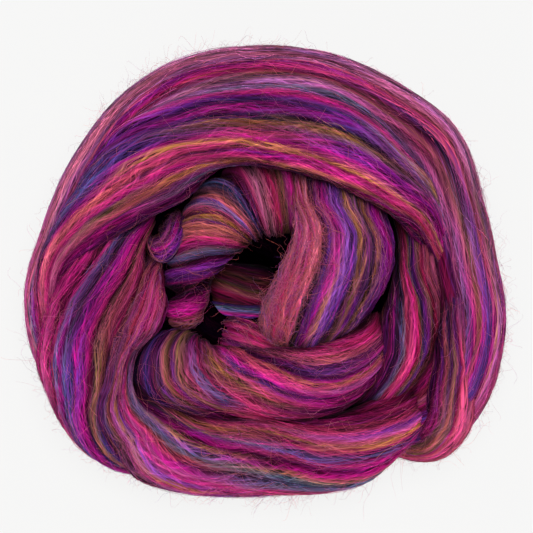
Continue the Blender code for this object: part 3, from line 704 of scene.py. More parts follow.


# %% The stripes of each turn
# Each shade here is painted shade, and so are the tables made mostly of it and of dark dyes.
STRIPES = {
    "lowest": """
0.0: magenta 4 violet 12 rose 20 gold 27 plum 30 pink 36 purple 41 slate 45 mauve 49 magenta 53
mustard 56.5 wine 60 fuchsia 65 indigo 71 rose 78 plum 86 navy 94
0.5: plum 5 rose 14 teal 22 magenta 29 coral 35 violet 39 pink 44 olive 48 purple 51 rose 56 navy 61
mauve 66 gold 70 magenta 75 wine 84 violet 92""",
    "outer": """
0.15: wine 12 wine 17 clay 20 wine 22 plum 24 navy 26 plum 28 magenta 30 navy 32 navy 34 magenta 36
mauve 39 rose 43 orchid 48 magenta 52 rose 57 slate 63 violet 67 rose 72 plum 78 wine 88
0.22: wine 10 wine 19 sloe 22 slate 23.8 magenta 26 rose 27.5 olive 28.8 magenta 30.4 navy 32 navy 33.8
magenta 35.2 mauve 36.2 gold 37.2 orchid 39 purple 41 rose 45 mauve 49 gold 55 magenta 59 slate 63
violet 67 rose 72 plum 78 wine 88
0.29: wine 10 wine 18 sloe 20 mauve 22 orchid 23.4 mauve 25.4 blush 27 olive 28.6 orchid 30.2 violet 32
orchid 33.8 coral 35.6 mauve 37.6 olive 39.6 orchid 42 rose 46 mauve 49 gold 55 magenta 59 slate 63
violet 67 rose 72 plum 78 wine 88
0.37: wine 10 slate 18 orchid 20.5 mauve 22.8 rose 24.6 brown 26.4 sloe 28.8 navy 30.2 coral 32 plum 33.6
coral 35 blush 37.4 orchid 41 petal 45 orchid 49 purple 53 rose 57 teal 61 magenta 66 coral 71 plum 78
wine 88
0.51: plum 12 fuchsia 17 violet 19.5 orchid 21.2 teal 22.8 orchid 24.4 orchid 25.8 olive 27.2 clay 28.4
wine 29.6 wine 30.8 pink 32.2 purple 33.6 coral 35 orchid 36.6 blush 39 orchid 42 petal 46 orchid 51
rose 56 mustard 61 purple 66 plum 76
0.58: wine 12 violet 18 navy 20.5 violet 22.5 magenta 24 orchid 25.8 petal 27.4 orchid 28.8 wine 30
crimson 31 plum 32.6 purple 34 coral 35.4 orchid 37 blush 40 petal 44 orchid 48 rose 55 purple 62 plum 76
0.64: wine 12 navy 20 plum 23 navy 25.5 violet 27.6 purple 29.2 clay 30.6 magenta 32 violet 33.4
coral 34.8 orchid 36.4 blush 39 petal 43 orchid 47 magenta 52 coral 57 violet 62 rose 68 plum 78 wine 88
0.78: pink 17 fuchsia 22 pink 26 magenta 29.5 coral 31 olive 32.2 coral 33.2 wine 34.6 magenta 36
purple 37.8 teal 39 rose 41 mauve 48 magenta 53 gold 57 purple 62 pink 67 slate 72 wine 82""",
    "top": """
0.14: plum 18 rose 28 wine 36 crimson 43 rose 49 wine 55 rose 59.5 blush 62.4 rose 65.4 pink 68 mauve 72.5
magenta 76 plum 81 shade 88
0.32: plum 16 orchid 26 rose 32 violet 38 purple 43 slate 47 indigo 51 slate 53.6 violet 56 magenta 59
salmon 61.8 rose 64.2 pink 66.6 plum 68.4 olive 70.2 olive 71.8 clay 73.4 sloe 76 magenta 79 plum 83
shade 88
0.43: wine 14 orchid 24 orchid 33 magenta 37 violet 39.5 purple 44 plum 46.4 navy 49 navy 51.8 violet 54
magenta 56.4 gold 58.4 pink 60.4 rose 62.6 plum 64 rose 65.4 pink 67.6 magenta 69.6 rose 71.4 gold 73.2
clay 74.6 plum 76.4 teal 78.6 plum 81 shade 86
0.55: wine 14 rose 25 orchid 31 teal 34 orchid 36.4 pink 38.6 purple 41 navy 42.6 sloe 45 fuchsia 46.8
navy 48.4 navy 49.4 mustard 50.8 olive 52 rose 53.6 rose 55 fuchsia 57 wine 58.5 gold 59.8 magenta 62
purple 64.6 magenta 66.2 pink 68.2 mustard 70.4 brown 71.8 wine 73.2 shade 74.6 shade 90
0.69: wine 14 orchid 24 orchid 31 teal 34 slate 36 pink 38.6 fuchsia 41 navy 43.6 purple 45.6 navy 47.8
gold 49.1 olive 50.3 grey 51.6 purple 53 sloe 54.3 violet 56 magenta 57.8 rose 59.2 gold 61.2 magenta 62
pink 63.6 magenta 65.4 rose 67.4 mustard 69.2 wine 70.4 shade 71.4 shade 88
0.85: plum 16 teal 25 navy 30 slate 35 navy 39.5 gold 43 slate 45 mauve 48 violet 50.3 magenta 52.4
purple 54 fuchsia 56.3 mauve 58.3 gold 59.6 rose 61.6 rose 64.2 crimson 65.8 brown 67.2 wine 68.6
shade 70.5 shade 88""",
    "left": """
0.2: pink 24 magenta 33 pink 37 magenta 40 pink 42.4 wine 44 magenta 45.4 pink 46.8 slate 48.4 navy 50
slate 51.4 magenta 53 purple 54.6 fuchsia 56.4 magenta 58.4 pink 60 sloe 61.8 olive 63 rose 64.5 rose 67
wine 72 shade 82
0.5: olive 27 magenta 32 pink 36 mauve 39 pink 41.5 magenta 43.6 pink 45.2 navy 46.8 slate 48 magenta 49
purple 50.4 slate 52 violet 54 magenta 55.4 violet 57 plum 58.6 magenta 60 pink 61.6 sloe 63.2 olive 65
olive 66.4 brown 68 clay 70 wine 73 wine 78 shade 86
0.72: wine 30 plum 42 rose 47 navy 50 slate 53 violet 55.5 magenta 58.5 plum 60.5 navy 62 olive 63.6
brown 65.2 olive 66.8 navy 69.2 sloe 71 olive 73 mauve 75.5 shade 84""",
    "front": """
0.16: shade 20 sloe 34 brown 42 wine 47 crimson 51 rose 56 magenta 61 rose 65 crimson 69 wine 74 shade 84
0.4: sloe 30 navy 38 sloe 42 navy 46 olive 50 clay 52 mauve 54.4 lilac 55.8 mustard 57.2 violet 58.8
mauve 60.4 magenta 62 mauve 64 magenta 65.8 coral 68 grey 70 slate 72 grey 73.6 sloe 75 shade 76.4
shade 88
0.53: purple 34 plum 40 wine 46 orchid 52 pink 54 mustard 55.8 violet 57.2 lilac 59 magenta 61 mauve 63
magenta 65 plum 66.6 coral 68 grey 69.4 slate 71.2 lilac 73 gold 74.5 magenta 76 magenta 77.6 purple 79.4
olive 81.2 rose 82.8 gold 84.6 rose 86.4 wine 88.4 shade 92
0.7: magenta 45 violet 54 pink 57 rose 60 magenta 62.6 grey 64.6 slate 66.6 teal 68.8 mustard 70.6
magenta 72.2 fuchsia 74 magenta 75.6 plum 77 rose 78.8 lilac 80.2 slate 81.8 mauve 83.2 magenta 84.6
rose 86 gold 87.4 rose 88.8 mauve 90.6 rose 92.6 wine 96
0.87: wine 40 magenta 54 grey 62 slate 64.6 teal 67 gold 69 rose 70.8 magenta 73 sloe 75 fuchsia 77
magenta 79 slate 80.8 magenta 82.4 rose 84 gold 85.6 rose 87.2 mauve 89.4 violet 91.4 rose 93.4 wine 97""",
    "right": """
0.18: shade 14 plum 28 navy 36 sloe 42 navy 48 shade 55 sloe 60 shade 66 shade 80
0.42: plum 12 purple 22 plum 28 wine 35 clay 40 mauve 43.6 clay 46.4 rose 49.4 wine 51.6 plum 53.6
olive 55.6 plum 57.8 navy 59.4 brown 61 sloe 63 shade 66 shade 80
0.7: plum 12 sloe 24 wine 36 clay 44 rose 48 clay 50.6 wine 52.4 olive 54.4 brown 57 olive 59.6 plum 61.6
wine 64 shade 70""",
    "inner": """
0.5: plum 14 clay 30 crimson 34 olive 37.4 purple 40 violet 42 olive 44.3 crimson 46 pink 48 rose 50
wine 51.8 grey 53.4 slate 55 sloe 57 shade 59.4 sloe 62.4 plum 65 sloe 68 wine 74 shade 84""",
    "rim": """
0.0: rose 3 pink 6 fuchsia 8.5 olive 10.3 crimson 14 petal 18.6 pink 22.5 navy 25.5 slate 28.6 brown 31
salmon 33.4 indigo 35.2 grey 36.8 rose 39 gold 40.4 plum 42.6 peach 46 salmon 49.4 pink 51.6 magenta 54.4
grey 57.4 slate 59.4 wine 61.6 purple 65 violet 68 plum 72.4 shade 77 shade 81 fuchsia 84 magenta 88.6
brown 92 slate 96""",
    "fan": """
0.13: shade 20 navy 31 sloe 36 olive 39 plum 43 olive 45 sloe 49 wine 53 sloe 57 wine 61 shade 66 wine 72
shade 80
0.25: shade 28 navy 31 plum 33.4 olive 35.4 violet 37 olive 38.6 brown 40 magenta 41.6 lilac 43 olive 44.3
clay 46 rose 48 slate 49.8 wine 51.8 clay 53.4 olive 54.8 mustard 56 brown 57.6 rose 59.2 navy 60.8
fuchsia 62.6 rose 65 coral 66.8 wine 68.4 sloe 70 plum 76
0.36: shade 36 sloe 39 plum 41 wine 43 olive 45 plum 47 slate 49.5 wine 51.5 rose 53 brown 55 olive 56.5
clay 58 rose 59.5 navy 60.8 fuchsia 62.8 rose 65 coral 66.8 wine 68.6 plum 70 clay 74 plum 80
0.47: shade 36 wine 40 crimson 43 rose 45.4 crimson 47 rose 49 pink 50.6 rose 52.4 wine 54 olive 55.6
coral 57 rose 58.8 navy 60.6 violet 61.6 fuchsia 63.2 pink 65 rose 66.6 mustard 67.8 wine 69 sloe 70.6
plum 73 clay 76 magenta 86
0.66: shade 48 sloe 51 wine 53 plum 55 magenta 56.8 wine 58.4 magenta 60 violet 61.5 magenta 63 mauve 64.6
rose 66.2 mustard 67.5 magenta 68.8 plum 70.2 navy 71.6 navy 73.4 plum 74.8 clay 76.4 brown 78 rose 80.4
pink 85 wine 92
0.93: shade 48 sloe 58 wine 62 sloe 66 wine 71 sloe 77 crimson 82 shade 92""",
    "loop": """
0.3: blush 10 purple 22 violet 28 magenta 33 purple 37 mustard 39.6 navy 41 olive 42.4 purple 43.6 gold 45
lilac 46.6 violet 48.4 lilac 50 violet 51.8 magenta 53.8 mauve 55.2 violet 56.8 plum 58.2 salmon 60
petal 61.4 peach 62.6 pink 64 petal 65.4 salmon 66.8 magenta 68.4 blush 73 grey 77 plum 86
0.65: blush 10 navy 20 plum 26 purple 31 plum 35 navy 38 mustard 39.8 navy 41.2 purple 43 olive 44.4
plum 46 navy 47.6 violet 49.4 lilac 51.4 mustard 52.2 mauve 53 magenta 54.4 purple 55.4 navy 56.8
sloe 58.2 olive 59.2 rose 60.4 salmon 62 magenta 63.6 salmon 65.2 crimson 67 rose 70 grey 75 plum 86""",
    "deep": """
0.5: shade 10 wine 24 clay 30 wine 34 brown 38 wine 42 crimson 46 clay 49 olive 52 wine 55 brown 59
wine 64 sloe 70 shade 80""",
    "tuft": """
0.5: shade 12 navy 26 indigo 31 purple 36 violet 41 magenta 46 purple 50 mauve 54 purple 59 violet 64
plum 70 sloe 76 shade 88""",
    "sill": """
0.5: shade 12 gold 24 shade 31 violet 38 indigo 46 magenta 52 slate 58 teal 64 indigo 70 shade 84""",
    "lip": """
0.26: shade 36 wine 44 sloe 52 wine 60 shade 72
0.55: shade 10 wine 26 magenta 32 rose 38 pink 43 violet 46 rose 49 pink 53 crimson 57 rose 61 wine 65
magenta 69 crimson 74 shade 90""",
    "heart": """
0.0: wine 6 plum 14 magenta 22 violet 30 plum 38 slate 42 plum 46 shade 50 shade 96""",
}


def tables_of(text, length=1.0):
    """'0.5: rose 30 wine 40.5' gives {0.5 * length: [(0.30, 'rose'), (0.405, 'wine')]}."""
    tables, words = {}, iter(text.split())
    for word in words:
        if word.endswith(":"):
            stripes = tables[float(word[:-1]) * length] = []
        else:
            stripes.append((float(next(words)) / 100, word))
    return tables


print(sum(len(tables_of(text)) for text in STRIPES.values()), "tables of stripes")

# %% [markdown]
# ## One shader group for combed fibre
# Every turn shows the same thing close up: thousands of fine fibres side by side, some light and
# some dark, wandering a little from their stripe into the next one. One node group makes it for all
# of them. Its noise is stretched along the fibres. To close the pattern round the turn, `across` is
# bent into a circle first: the noise is read at (cos, sin, along), so 0 and 1 are the same place.


# %% Sums on wires
class Wire:
    """An output that can be reckoned with: each sum, product or other step adds a Math node."""

    def __init__(self, socket):
        self.socket = socket

    def maths(self, operation, *other):
        inputs = dict(enumerate((self, *other)))
        return Wire(node(self.socket.id_data, "ShaderNodeMath", inputs, operation=operation).outputs[0])

    def __add__(self, other):
        return self.maths("ADD", other)

    def __sub__(self, other):
        return self.maths("SUBTRACT", other)

    def __mul__(self, other):
        return self.maths("MULTIPLY", other)

    def __truediv__(self, other):
        return self.maths("DIVIDE", other)

    def clamped(self):
        """The same step, held from 0 to 1."""
        self.socket.node.use_clamp = True
        return self


# %% The combed_fibre group
PER_METRE = 2400.0  # fibres drawn side by side in a metre
LIGHT_LEAST, LIGHT_MOST = 0.1, 1.7
GIVEN = {"Across": 0.5, "Along": 0.0, "Fibres": 160.0, "Contrast": 1.0, "Batch": 0.0, "Openness": 1.0}
RESULTS = ("Across", "Light", "Height", "Stray", "Ground")


def fibre_group():
    """Noise at three sizes, stretched along the fibres, and a web that crosses them aslant. Light is how
    bright a fibre is: its own tone, painted highlights on the brightest fibres and painted shade in
    the gaps between them, times the painted light and shade that Openness brings from the mesh.
    Height is how far it stands out, Across the place that its dye is read at, pushed by the same
    noise, and Stray and Ground say where other dyes are mixed in."""
    tree = bpy.data.node_groups.new("combed_fibre", "ShaderNodeTree")
    for label, value in GIVEN.items():
        socket = tree.interface.new_socket(label, in_out="INPUT", socket_type="NodeSocketFloat")
        socket.default_value = value
    for label in RESULTS:
        tree.interface.new_socket(label, in_out="OUTPUT", socket_type="NodeSocketFloat")
    given = tree.nodes.new("NodeGroupInput").outputs
    across, along, fibres, contrast, batch, openness = (Wire(given[label]) for label in GIVEN)
    radius = fibres / (2 * pi)

    def noise_at(x, y, z, detail, roughness=0.5):
        """Soft noise from about -0.5 to 0.5."""
        at = node(tree, "ShaderNodeCombineXYZ", {0: x, 1: y, 2: z})
        inputs = {0: at.outputs[0], "Scale": 1.0, "Detail": detail, "Roughness": roughness}
        return Wire(node(tree, "ShaderNodeTexNoise", inputs).outputs[0]) - 0.5

    def waved_by(cells, per_metre, most):
        """Pushes across from side to side by soft noise, by about a quarter of `most` fibres."""
        push = noise_at(across * fibres * cells, batch, along * per_metre, 1.0) * most
        return across + push / fibres

    waved = waved_by(0.03, 35.0, 5.5)
    crimped = waved_by(0.10, 110.0, 2.2)

    def streaks(fineness, per_metre, shift, detail, lean=0.0, base=waved):
        """Noise whose cells are long and thin: fineness cells to a fibre, per_metre cells along.
        With a lean, the cells run aslant, by that many fibres' widths for each one of length."""
        z = along * per_metre + shift + batch
        turn = (base + along * (lean * PER_METRE) / fibres) * (2 * pi)
        x, y = turn.maths("COSINE") * radius, turn.maths("SINE") * radius
        return noise_at(x * fineness, y * fineness, z, detail, 0.6)

    left = streaks(0.75, 26.0, 3.1, 1.5, 0.12, crimped)
    right = streaks(0.75, 26.0, 71.7, 1.5, -0.12, crimped)
    fine = left.maths("MAXIMUM", right) - 0.06  # the brighter of two leans, so that fibres cross
    lock = streaks(0.20, 14.0, 9.7, 2.0)
    broad = streaks(0.045, 9.0, 17.3, 1.0)
    web_left = streaks(0.75, 34.0, 5.9, 0.0, 0.36, crimped)
    web_right = streaks(0.75, 34.0, 47.3, 0.0, -0.36, crimped)
    web = ((web_left.maths("MAXIMUM", web_right) - 0.11) * 7.0).clamped()
    stray = streaks(0.9, 11.0, 31.9, 1.0)
    ground = streaks(1.1, 17.0, 51.3, 1.0)
    pushed = waved + (fine * 0.06 + lock * 0.045 + broad * 0.05)
    # Fibre tone, with painted highlights and painted shade between the fibres.
    shade = (fine * 3.3 + lock * 0.9 + web * 0.45) * contrast + 0.64
    bright = shade.maths("MAXIMUM", LIGHT_LEAST).maths("MINIMUM", LIGHT_MOST)
    # Light is the fibre's brightness times the painted light and shade of Openness.
    set_inputs(tree.nodes.new("NodeGroupOutput"), {
        "Across": pushed.maths("FRACT"),
        "Light": bright * (openness * 1.3 + 0.03),
        "Height": (fine + lock * 1.2 + 0.5).clamped(),
        "Stray": ((stray - 0.13) * 6.0).clamped(),
        "Ground": (ground * 3.0 + 0.36).clamped(),
    })  # fmt: skip
    return tree


combed_fibre = fibre_group()
print("combed_fibre has", len(combed_fibre.nodes), "nodes")

# %% [markdown]
# ## The wool itself
# Each turn gets its own material, since its stripes differ, but all are made by one function: read
# the fibre lines from the mesh's own `lay` map, let the group wander and shade them, look the dye up
# in the stripes, and mix in fibres of other dyes: a ground of near ones, and a few strays. The colour
# is then multiplied by the group's Light, which paints light and shade into it. Wool is rough, and a
# trace of sheen stands for the fine fibres that catch the light at the edges.

# %% Wool materials
STRAYS = "0: gold 12 teal 30 blush 48 indigo 64 fuchsia 80 mustard 94"
STRAY_TIMES = 23.0  # how many times these dyes repeat round a turn
GROUNDS = "0: magenta 10 purple 28 fuchsia 46 crimson 64 violet 80 magenta 94"
GROUND_TIMES = 9.0
BATCH_STEP = 5.3  # sets the noise of each turn apart from that of the last


def ramp(tree, source, stripes):
    made = node(tree, "ShaderNodeValToRGB", {0: source})
    elements = made.color_ramp.elements
    elements.remove(elements[1])
    for k, (at, dye) in enumerate(stripes):
        stop = elements[0] if k == 0 else elements.new(at)
        stop.position, stop.color = at, daylight(dye)
    return made.outputs[0]


def mixed(tree, kind, factor, a, b):
    inputs = {0: factor, 6: a, 7: b}
    return node(tree, "ShaderNodeMix", inputs, data_type="RGBA", blend_type=kind).outputs[2]


def wool(name, tables, batch, fibres, contrast=1.0, ground=0.45, stray=0.3, sheen=0.01):
    """tables is {along in metres: stripes}, faded into one another in the order of along."""
    material = bpy.data.materials.new(name)
    material.use_nodes = True
    tree = material.node_tree
    lay = node(tree, "ShaderNodeUVMap", {}, uv_map="lay")
    across, along = node(tree, "ShaderNodeSeparateXYZ", {0: lay.outputs[0]}).outputs[:2]
    stands = node(tree, "ShaderNodeAttribute", {}, attribute_name="openness")
    fibre = node(tree, "ShaderNodeGroup", {
        "Across": across, "Along": along, "Fibres": fibres, "Contrast": contrast, "Batch": batch,
        "Openness": stands.outputs["Fac"],
    }, node_tree=combed_fibre).outputs  # fmt: skip
    place = Wire(fibre["Across"])
    colour, before = None, 0.0
    for at, stripes in sorted(tables.items()):
        dyed = ramp(tree, place, stripes)
        if colour is None:
            colour, before = dyed, at
            continue
        fade = node(tree, "ShaderNodeMapRange", {0: along, 1: before, 2: at})
        colour, before = mixed(tree, "MIX", fade.outputs[0], colour, dyed), at
    for words, times, label, share in (
        (GROUNDS, GROUND_TIMES, "Ground", ground), (STRAYS, STRAY_TIMES, "Stray", stray),
    ):  # fmt: skip
        others = ramp(tree, (place * times).maths("FRACT"), tables_of(words)[0.0])
        colour = mixed(tree, "MIX", Wire(fibre[label]) * share, colour, others)
    light = node(tree, "ShaderNodeCombineXYZ", {k: fibre["Light"] for k in range(3)})
    bump = node(tree, "ShaderNodeBump", {"Strength": 0.5, "Distance": 0.0004, "Height": fibre["Height"]})
    # The base colour is multiplied by Light: painted light and shade.
    set_inputs(tree.nodes["Principled BSDF"], {
        "Base Color": mixed(tree, "MULTIPLY", 1.0, colour, light.outputs[0]),
        "Normal": bump.outputs[0], "Roughness": 0.62, "Specular IOR Level": 2.5 * sheen,
        "Sheen Weight": sheen, "Sheen Roughness": 0.45,
    })  # fmt: skip
    return material


turn_wool = {}
for k, (name, turn) in enumerate(TURNS.items()):
    surface = surfaces[name]
    tables = tables_of(STRIPES[name], surface.length * MM)
    span = surface.girth if turn.slant is None else surface.length
    turn_wool[name] = wool(f"{name}_wool", tables, BATCH_STEP * k, PER_METRE * MM * span)
turn_pieces = [add_turn(name, turn_wool[name]) for name in TURNS]
print("turn surfaces:", sum(len(piece.data.polygons) for piece in turn_pieces), "triangles")

# %% [markdown]
# ## The heart
# Under the turns that show lies the rest of the roving, packed so tightly that it is one soft bun
# with a flat foot. It is seen only deep in the hollow and at the foot, so it is one turned shape: a
# profile of ovals from the middle of the foot, out and up the side, and down into the hollow.

# %% The heart's surface
# Each oval of the profile: the x and y of its middle, its radius in x and y, and its height.
HEART = np.array([
    (0, 0, 0, 0, 0.0), (0, 0, 40, 38, 0.0), (0, 0, 66, 62, 0.0), (0, 0, 76.3, 72.5, 12.0),
    (0, 0, 82, 78, 34.0), (0, 0, 73.8, 70.2, 48.0), (0, 0, 50.8, 48.4, 58.0),
    (-10, -5, 18.8, 18.8, 55.0), (-10, -5, 15, 15, 47.0), (-10, -5, 14.5, 14.5, 40.0),
    (-10, -5, 14, 14, 26.0), (-10, -5, 9, 9, 14.0), (-10, -5, 0, 0, 13.0),
])  # fmt: skip
HEART_RIDGES = ((1.1, 34, 1.5, (14, 6), 901), (0.5, 90, 2.0, (20, 9), 902))  # height, then as ridges
HEART_ROWS, HEART_COLUMNS = 90, 96
HEART_WAY = 0.45  # metres round, at its widest
# HOLLOW_SKY paints the hollow's wall darker: painted shade, for the deep shadow in it.
HOLLOW_SKY = 0.15  # how much of its sky the wall of the hollow keeps, as packed wool is nearly black
FOOT_MM, HOLLOW_HALF = 20, 60  # the hollow's wall is over the one height and inside the other radius


def heart_surface():
    """Rows are ovals between those of the profile, at even steps along it. Each point is pushed up
    and out by ridges that run round the heart, and not at all on the foot. Each also gets its painted
    shade, from the grooves, the sky it sees and, on the hollow's wall, HOLLOW_SKY."""
    steps = np.linalg.norm(np.diff(HEART[:, [0, 2, 4]], axis=0), axis=1)
    knots = np.concatenate([[0], np.cumsum(steps)])
    s = np.linspace(0, 1, HEART_ROWS + 1)
    x, y, radius_x, radius_y, z = (np.interp(s * knots[-1], knots, column)[:, None] for column in HEART.T)
    turn = np.linspace(0, 1, HEART_COLUMNS + 1)[None, :]
    a, b = np.broadcast_arrays(s[:, None], turn)
    push = sum(height * ridges(a, b, *shape) for height, *shape in HEART_RIDGES)
    push = push * np.clip(z / 8, 0, 1) * np.clip((radius_x - 2) / 6, 0, 1)
    points = np.stack([x + (radius_x + push) * np.cos(2 * pi * turn),
                       y + (radius_y + push) * np.sin(2 * pi * turn), z + 0.5 * push], axis=-1)  # fmt: skip
    in_hollow = (z > FOOT_MM) & (radius_x < HOLLOW_HALF)
    return points, openness_of(push) * sky_share(points) * np.where(in_hollow, HOLLOW_SKY, 1)


heart_points, heart_open = heart_surface()
heart_triangles, heart_corners = tube_faces(HEART_ROWS, HEART_COLUMNS, False)
heart_uv = np.stack([heart_corners[..., 0] / HEART_ROWS, heart_corners[..., 1] / HEART_COLUMNS], axis=-1)
heart_wool = wool("heart_wool", tables_of(STRIPES["heart"]), 71.0, 360.0, ground=0.1, stray=0.05, sheen=0.0)
heart = add_mesh(
    "heart", tube_points(heart_points, False), heart_triangles,
    heart_uv * [1.0, HEART_WAY], heart_uv[..., ::-1],
    tube_points(heart_open[..., None], False).ravel(), heart_wool,
)  # fmt: skip
print("heart:", len(heart.data.polygons), "triangles")

# %% [markdown]
# ## Loose fibres
# A surface alone looks like plastic, however good its colours. What says wool is that single fibres
# lie on it a little untidily: most run with their turn, some cross it, and a few stand off. Blender's
# hair would draw them, but it is not a mesh, so here each fibre is a thin three-sided tube through
# a few points, tapered to nothing at both ends. Three sides are enough for a thing thinner than a
# pixel. A fibre starts from a place on a turn's surface, so it takes that place's dye.

# %% Finding a place on a turn
FIBRE_POINTS = 7
t_fibre = np.linspace(-0.5, 0.5, FIBRE_POINTS)[None, :]
SIDE_SHOWN = (0.19, 0.81)


def on_surface(name, u, v):
    """The point and normal at any across and along, by blending the four nearest grid points."""
    turn, surface = TURNS[name], surfaces[name]
    v = v % 1 if turn.closed else np.clip(v, 0, 1)
    column = np.interp(u % 1, surface.across, np.arange(turn.columns + 1))
    row = v * turn.rows
    i, j = np.minimum(row.astype(int), turn.rows - 1), np.minimum(column.astype(int), turn.columns - 1)
    f, g = (row - i)[..., None], (column - j)[..., None]

    def blend(grid):
        low = grid[i, j] * (1 - g) + grid[i, j + 1] * g
        return low * (1 - f) + (grid[i + 1, j] * (1 - g) + grid[i + 1, j + 1] * g) * f

    return blend(surface.points), unit(blend(surface.normals))


def drawer(rng, *shape):
    """A function that draws a number between two others, for each fibre."""
    return lambda low, high: rng.uniform(low, high, shape)


def fibre_lines(name, rng, count, length_mm, drift):
    """(across, along) of fibres that start anywhere on the side that shows. Along runs for the
    fibre's length. Across keeps still but for a slope, a bow and a wave of about `drift`."""
    turn, surface = TURNS[name], surfaces[name]
    draw = drawer(rng, count, 1)
    reach, seen, at = draw(*length_mm), draw(*SIDE_SHOWN), draw(0.0, 1.0)
    slope, bow, wave = (drift * rng.normal(0, 1, (count, 1)) for _ in range(3))
    stray = slope * t_fibre + bow * (t_fibre**2 - 0.1) + 0.25 * wave * np.sin(7 * t_fibre + 9 * at)
    if turn.slant is not None:
        u = seen + reach / surface.girth * t_fibre
        return u, at - read(turn.slant, at) * (u - 0.5) + 0.4 * stray
    v = at + reach / surface.length * t_fibre
    return seen - read(turn.twist, at) + stray, v


# %% Thin tubes
SIDES = 3


def tubes(name, paths, normals, radius_mm, place, shine, material):
    """Each fibre's three-sided rings: point + radius * (side * cos + up * sin), where side is the
    cross of the fibre's direction and the surface normal, and up is the cross of the two."""
    count, steps = paths.shape[:2]
    ahead = unit(np.gradient(paths, axis=1))
    side = unit(np.cross(ahead, normals))
    up = np.cross(side, ahead)
    taper = np.sqrt(np.clip(1.02 - (2 * np.linspace(-0.5, 0.5, steps)) ** 4, 0, 1))
    angle = 2 * pi * np.arange(SIDES) / SIDES + pi / 2
    radius = (radius_mm * taper)[..., None, None]
    rings = side[:, :, None] * np.cos(angle)[:, None] + up[:, :, None] * np.sin(angle)[:, None]
    points = (paths[:, :, None] + radius * rings).reshape(-1, 3)
    low, high, _ = grid_faces(steps - 1, SIDES)
    caps = np.array([[(0, 2), (0, 1), (0, 0)], [(steps - 1, 0), (steps - 1, 1), (steps - 1, 2)]])
    one = np.concatenate([low, high, caps])
    first = (np.arange(count) * steps * SIDES)[:, None, None]
    triangles = first + (one[..., 0] * SIDES + one[..., 1] % SIDES)[None]
    lay = place[:, one[..., 0]]
    across_cells = int(np.ceil(np.sqrt(count * 12)))
    along_cells = int(np.ceil(count / across_cells))
    cell = np.stack([np.arange(count) % across_cells, np.arange(count) // across_cells], axis=-1)
    inside = np.stack([one[..., 1] / 3.4, one[..., 0] / (steps - 0.8)], axis=-1)
    bake = (cell[:, None, None] + inside[None]) / [across_cells, along_cells]
    # Each fibre's openness is its shine times the painted shade of the sky it sees.
    return add_mesh(
        name, points, triangles.reshape(-1, 3), lay.reshape(-1, 3, 2), bake.reshape(-1, 3, 2),
        np.repeat((shine[:, None] * sky_share(paths)).ravel(), SIDES), material,
    )  # fmt: skip


# %% Fibres that lie on the turns
FIBRES = {
    "lowest": 300, "outer": 1100, "top": 1200, "left": 650, "front": 950, "right": 320,
    "inner": 320, "rim": 480, "fan": 620, "loop": 620, "deep": 40, "sill": 30, "lip": 120, "tuft": 60,
}  # fmt: skip
CROSSING = 0.4  # share of the fibres that cross the others
STRAY_PLACE = 0.012  # how far from its neighbours' place a fibre reads its dye
LAID_MM, LAID_RADIUS = (14.0, 48.0), (0.04, 0.08)
DRIFT, CROSSING_DRIFT = 0.015, 0.05
RISE, CROSSING_RISE = (0.08, 0.35), (0.2, 0.9)
DIP, LIFT = 0.12, 0.18  # how deep the ends lie, and how much more the middle rises to come out


def laid_fibres(name, seed):
    """Most fibres lie close and straight. The crossing ones drift further and rise in an arc, and
    every fibre's two ends dip under the surface."""
    rng = np.random.default_rng(seed)
    count = FIBRES[name]
    draw = drawer(rng, count, 1)
    crossing = draw(0, 1) < CROSSING
    u, v = fibre_lines(name, rng, count, LAID_MM, np.where(crossing, CROSSING_DRIFT, DRIFT))
    points, normals = on_surface(name, u, v)
    arc = 1 - (2 * t_fibre) ** 2
    height = np.where(crossing, draw(*CROSSING_RISE), draw(*RISE))
    paths = points + normals * (height * arc + LIFT * arc - DIP)[..., None]
    place = lay_of(TURNS[name], surfaces[name], u, v)
    place[..., 0] += STRAY_PLACE * rng.normal(0, 1, (count, 1))
    radius = draw(*LAID_RADIUS)
    shine = rng.uniform(0.3, 1.2, count) + 0.35 * crossing[:, 0]
    return tubes(f"{name}_fibres", paths, normals, radius, place, shine, turn_wool[name])


laid = [laid_fibres(name, 500 + k) for k, name in enumerate(FIBRES)]
print("laid fibres:", sum(FIBRES.values()))

# %% [markdown]
# ## Wisps and the halo
# Combing never catches every fibre. Short curly ones lie every way over the turns, and against the
# light a ball of wool wears a halo of others, whose one end is caught while the rest curls off into
# the air. Both are so thin that light passes through them, so they look paler than the roving, and
# that paleness is painted: they are given pale dyes. They stand thickest where the wool was handled
# most: along the outside, and as frizz on the loop.
#
# A patch says where on a turn they start: from `low` to `high` round the oval and from `start` to
# `end` along the turn. Its curl bends them more, and makes them stand further off.

# %% Wool for the wisps
# Pale dyes, as painted light for the light that passes through thin fibres.
WISP_DYES = (
    "0: blush 5 peach 14 mauve 23 rose 32 orchid 41 salmon 50 blush 59 grey 68 mauve 77 peach 86 lilac 95"
)
wisp_wool = wool("wisp_wool", tables_of(WISP_DYES), 91.0, 60.0, contrast=0.4, ground=0.1)
print("wisp_wool has", len(wisp_wool.node_tree.nodes), "nodes")
Patch = namedtuple("Patch", "turn low high start end count curl", defaults=(1.0,))


def patches(*rows):
    return [Patch(*row) for row in rows]


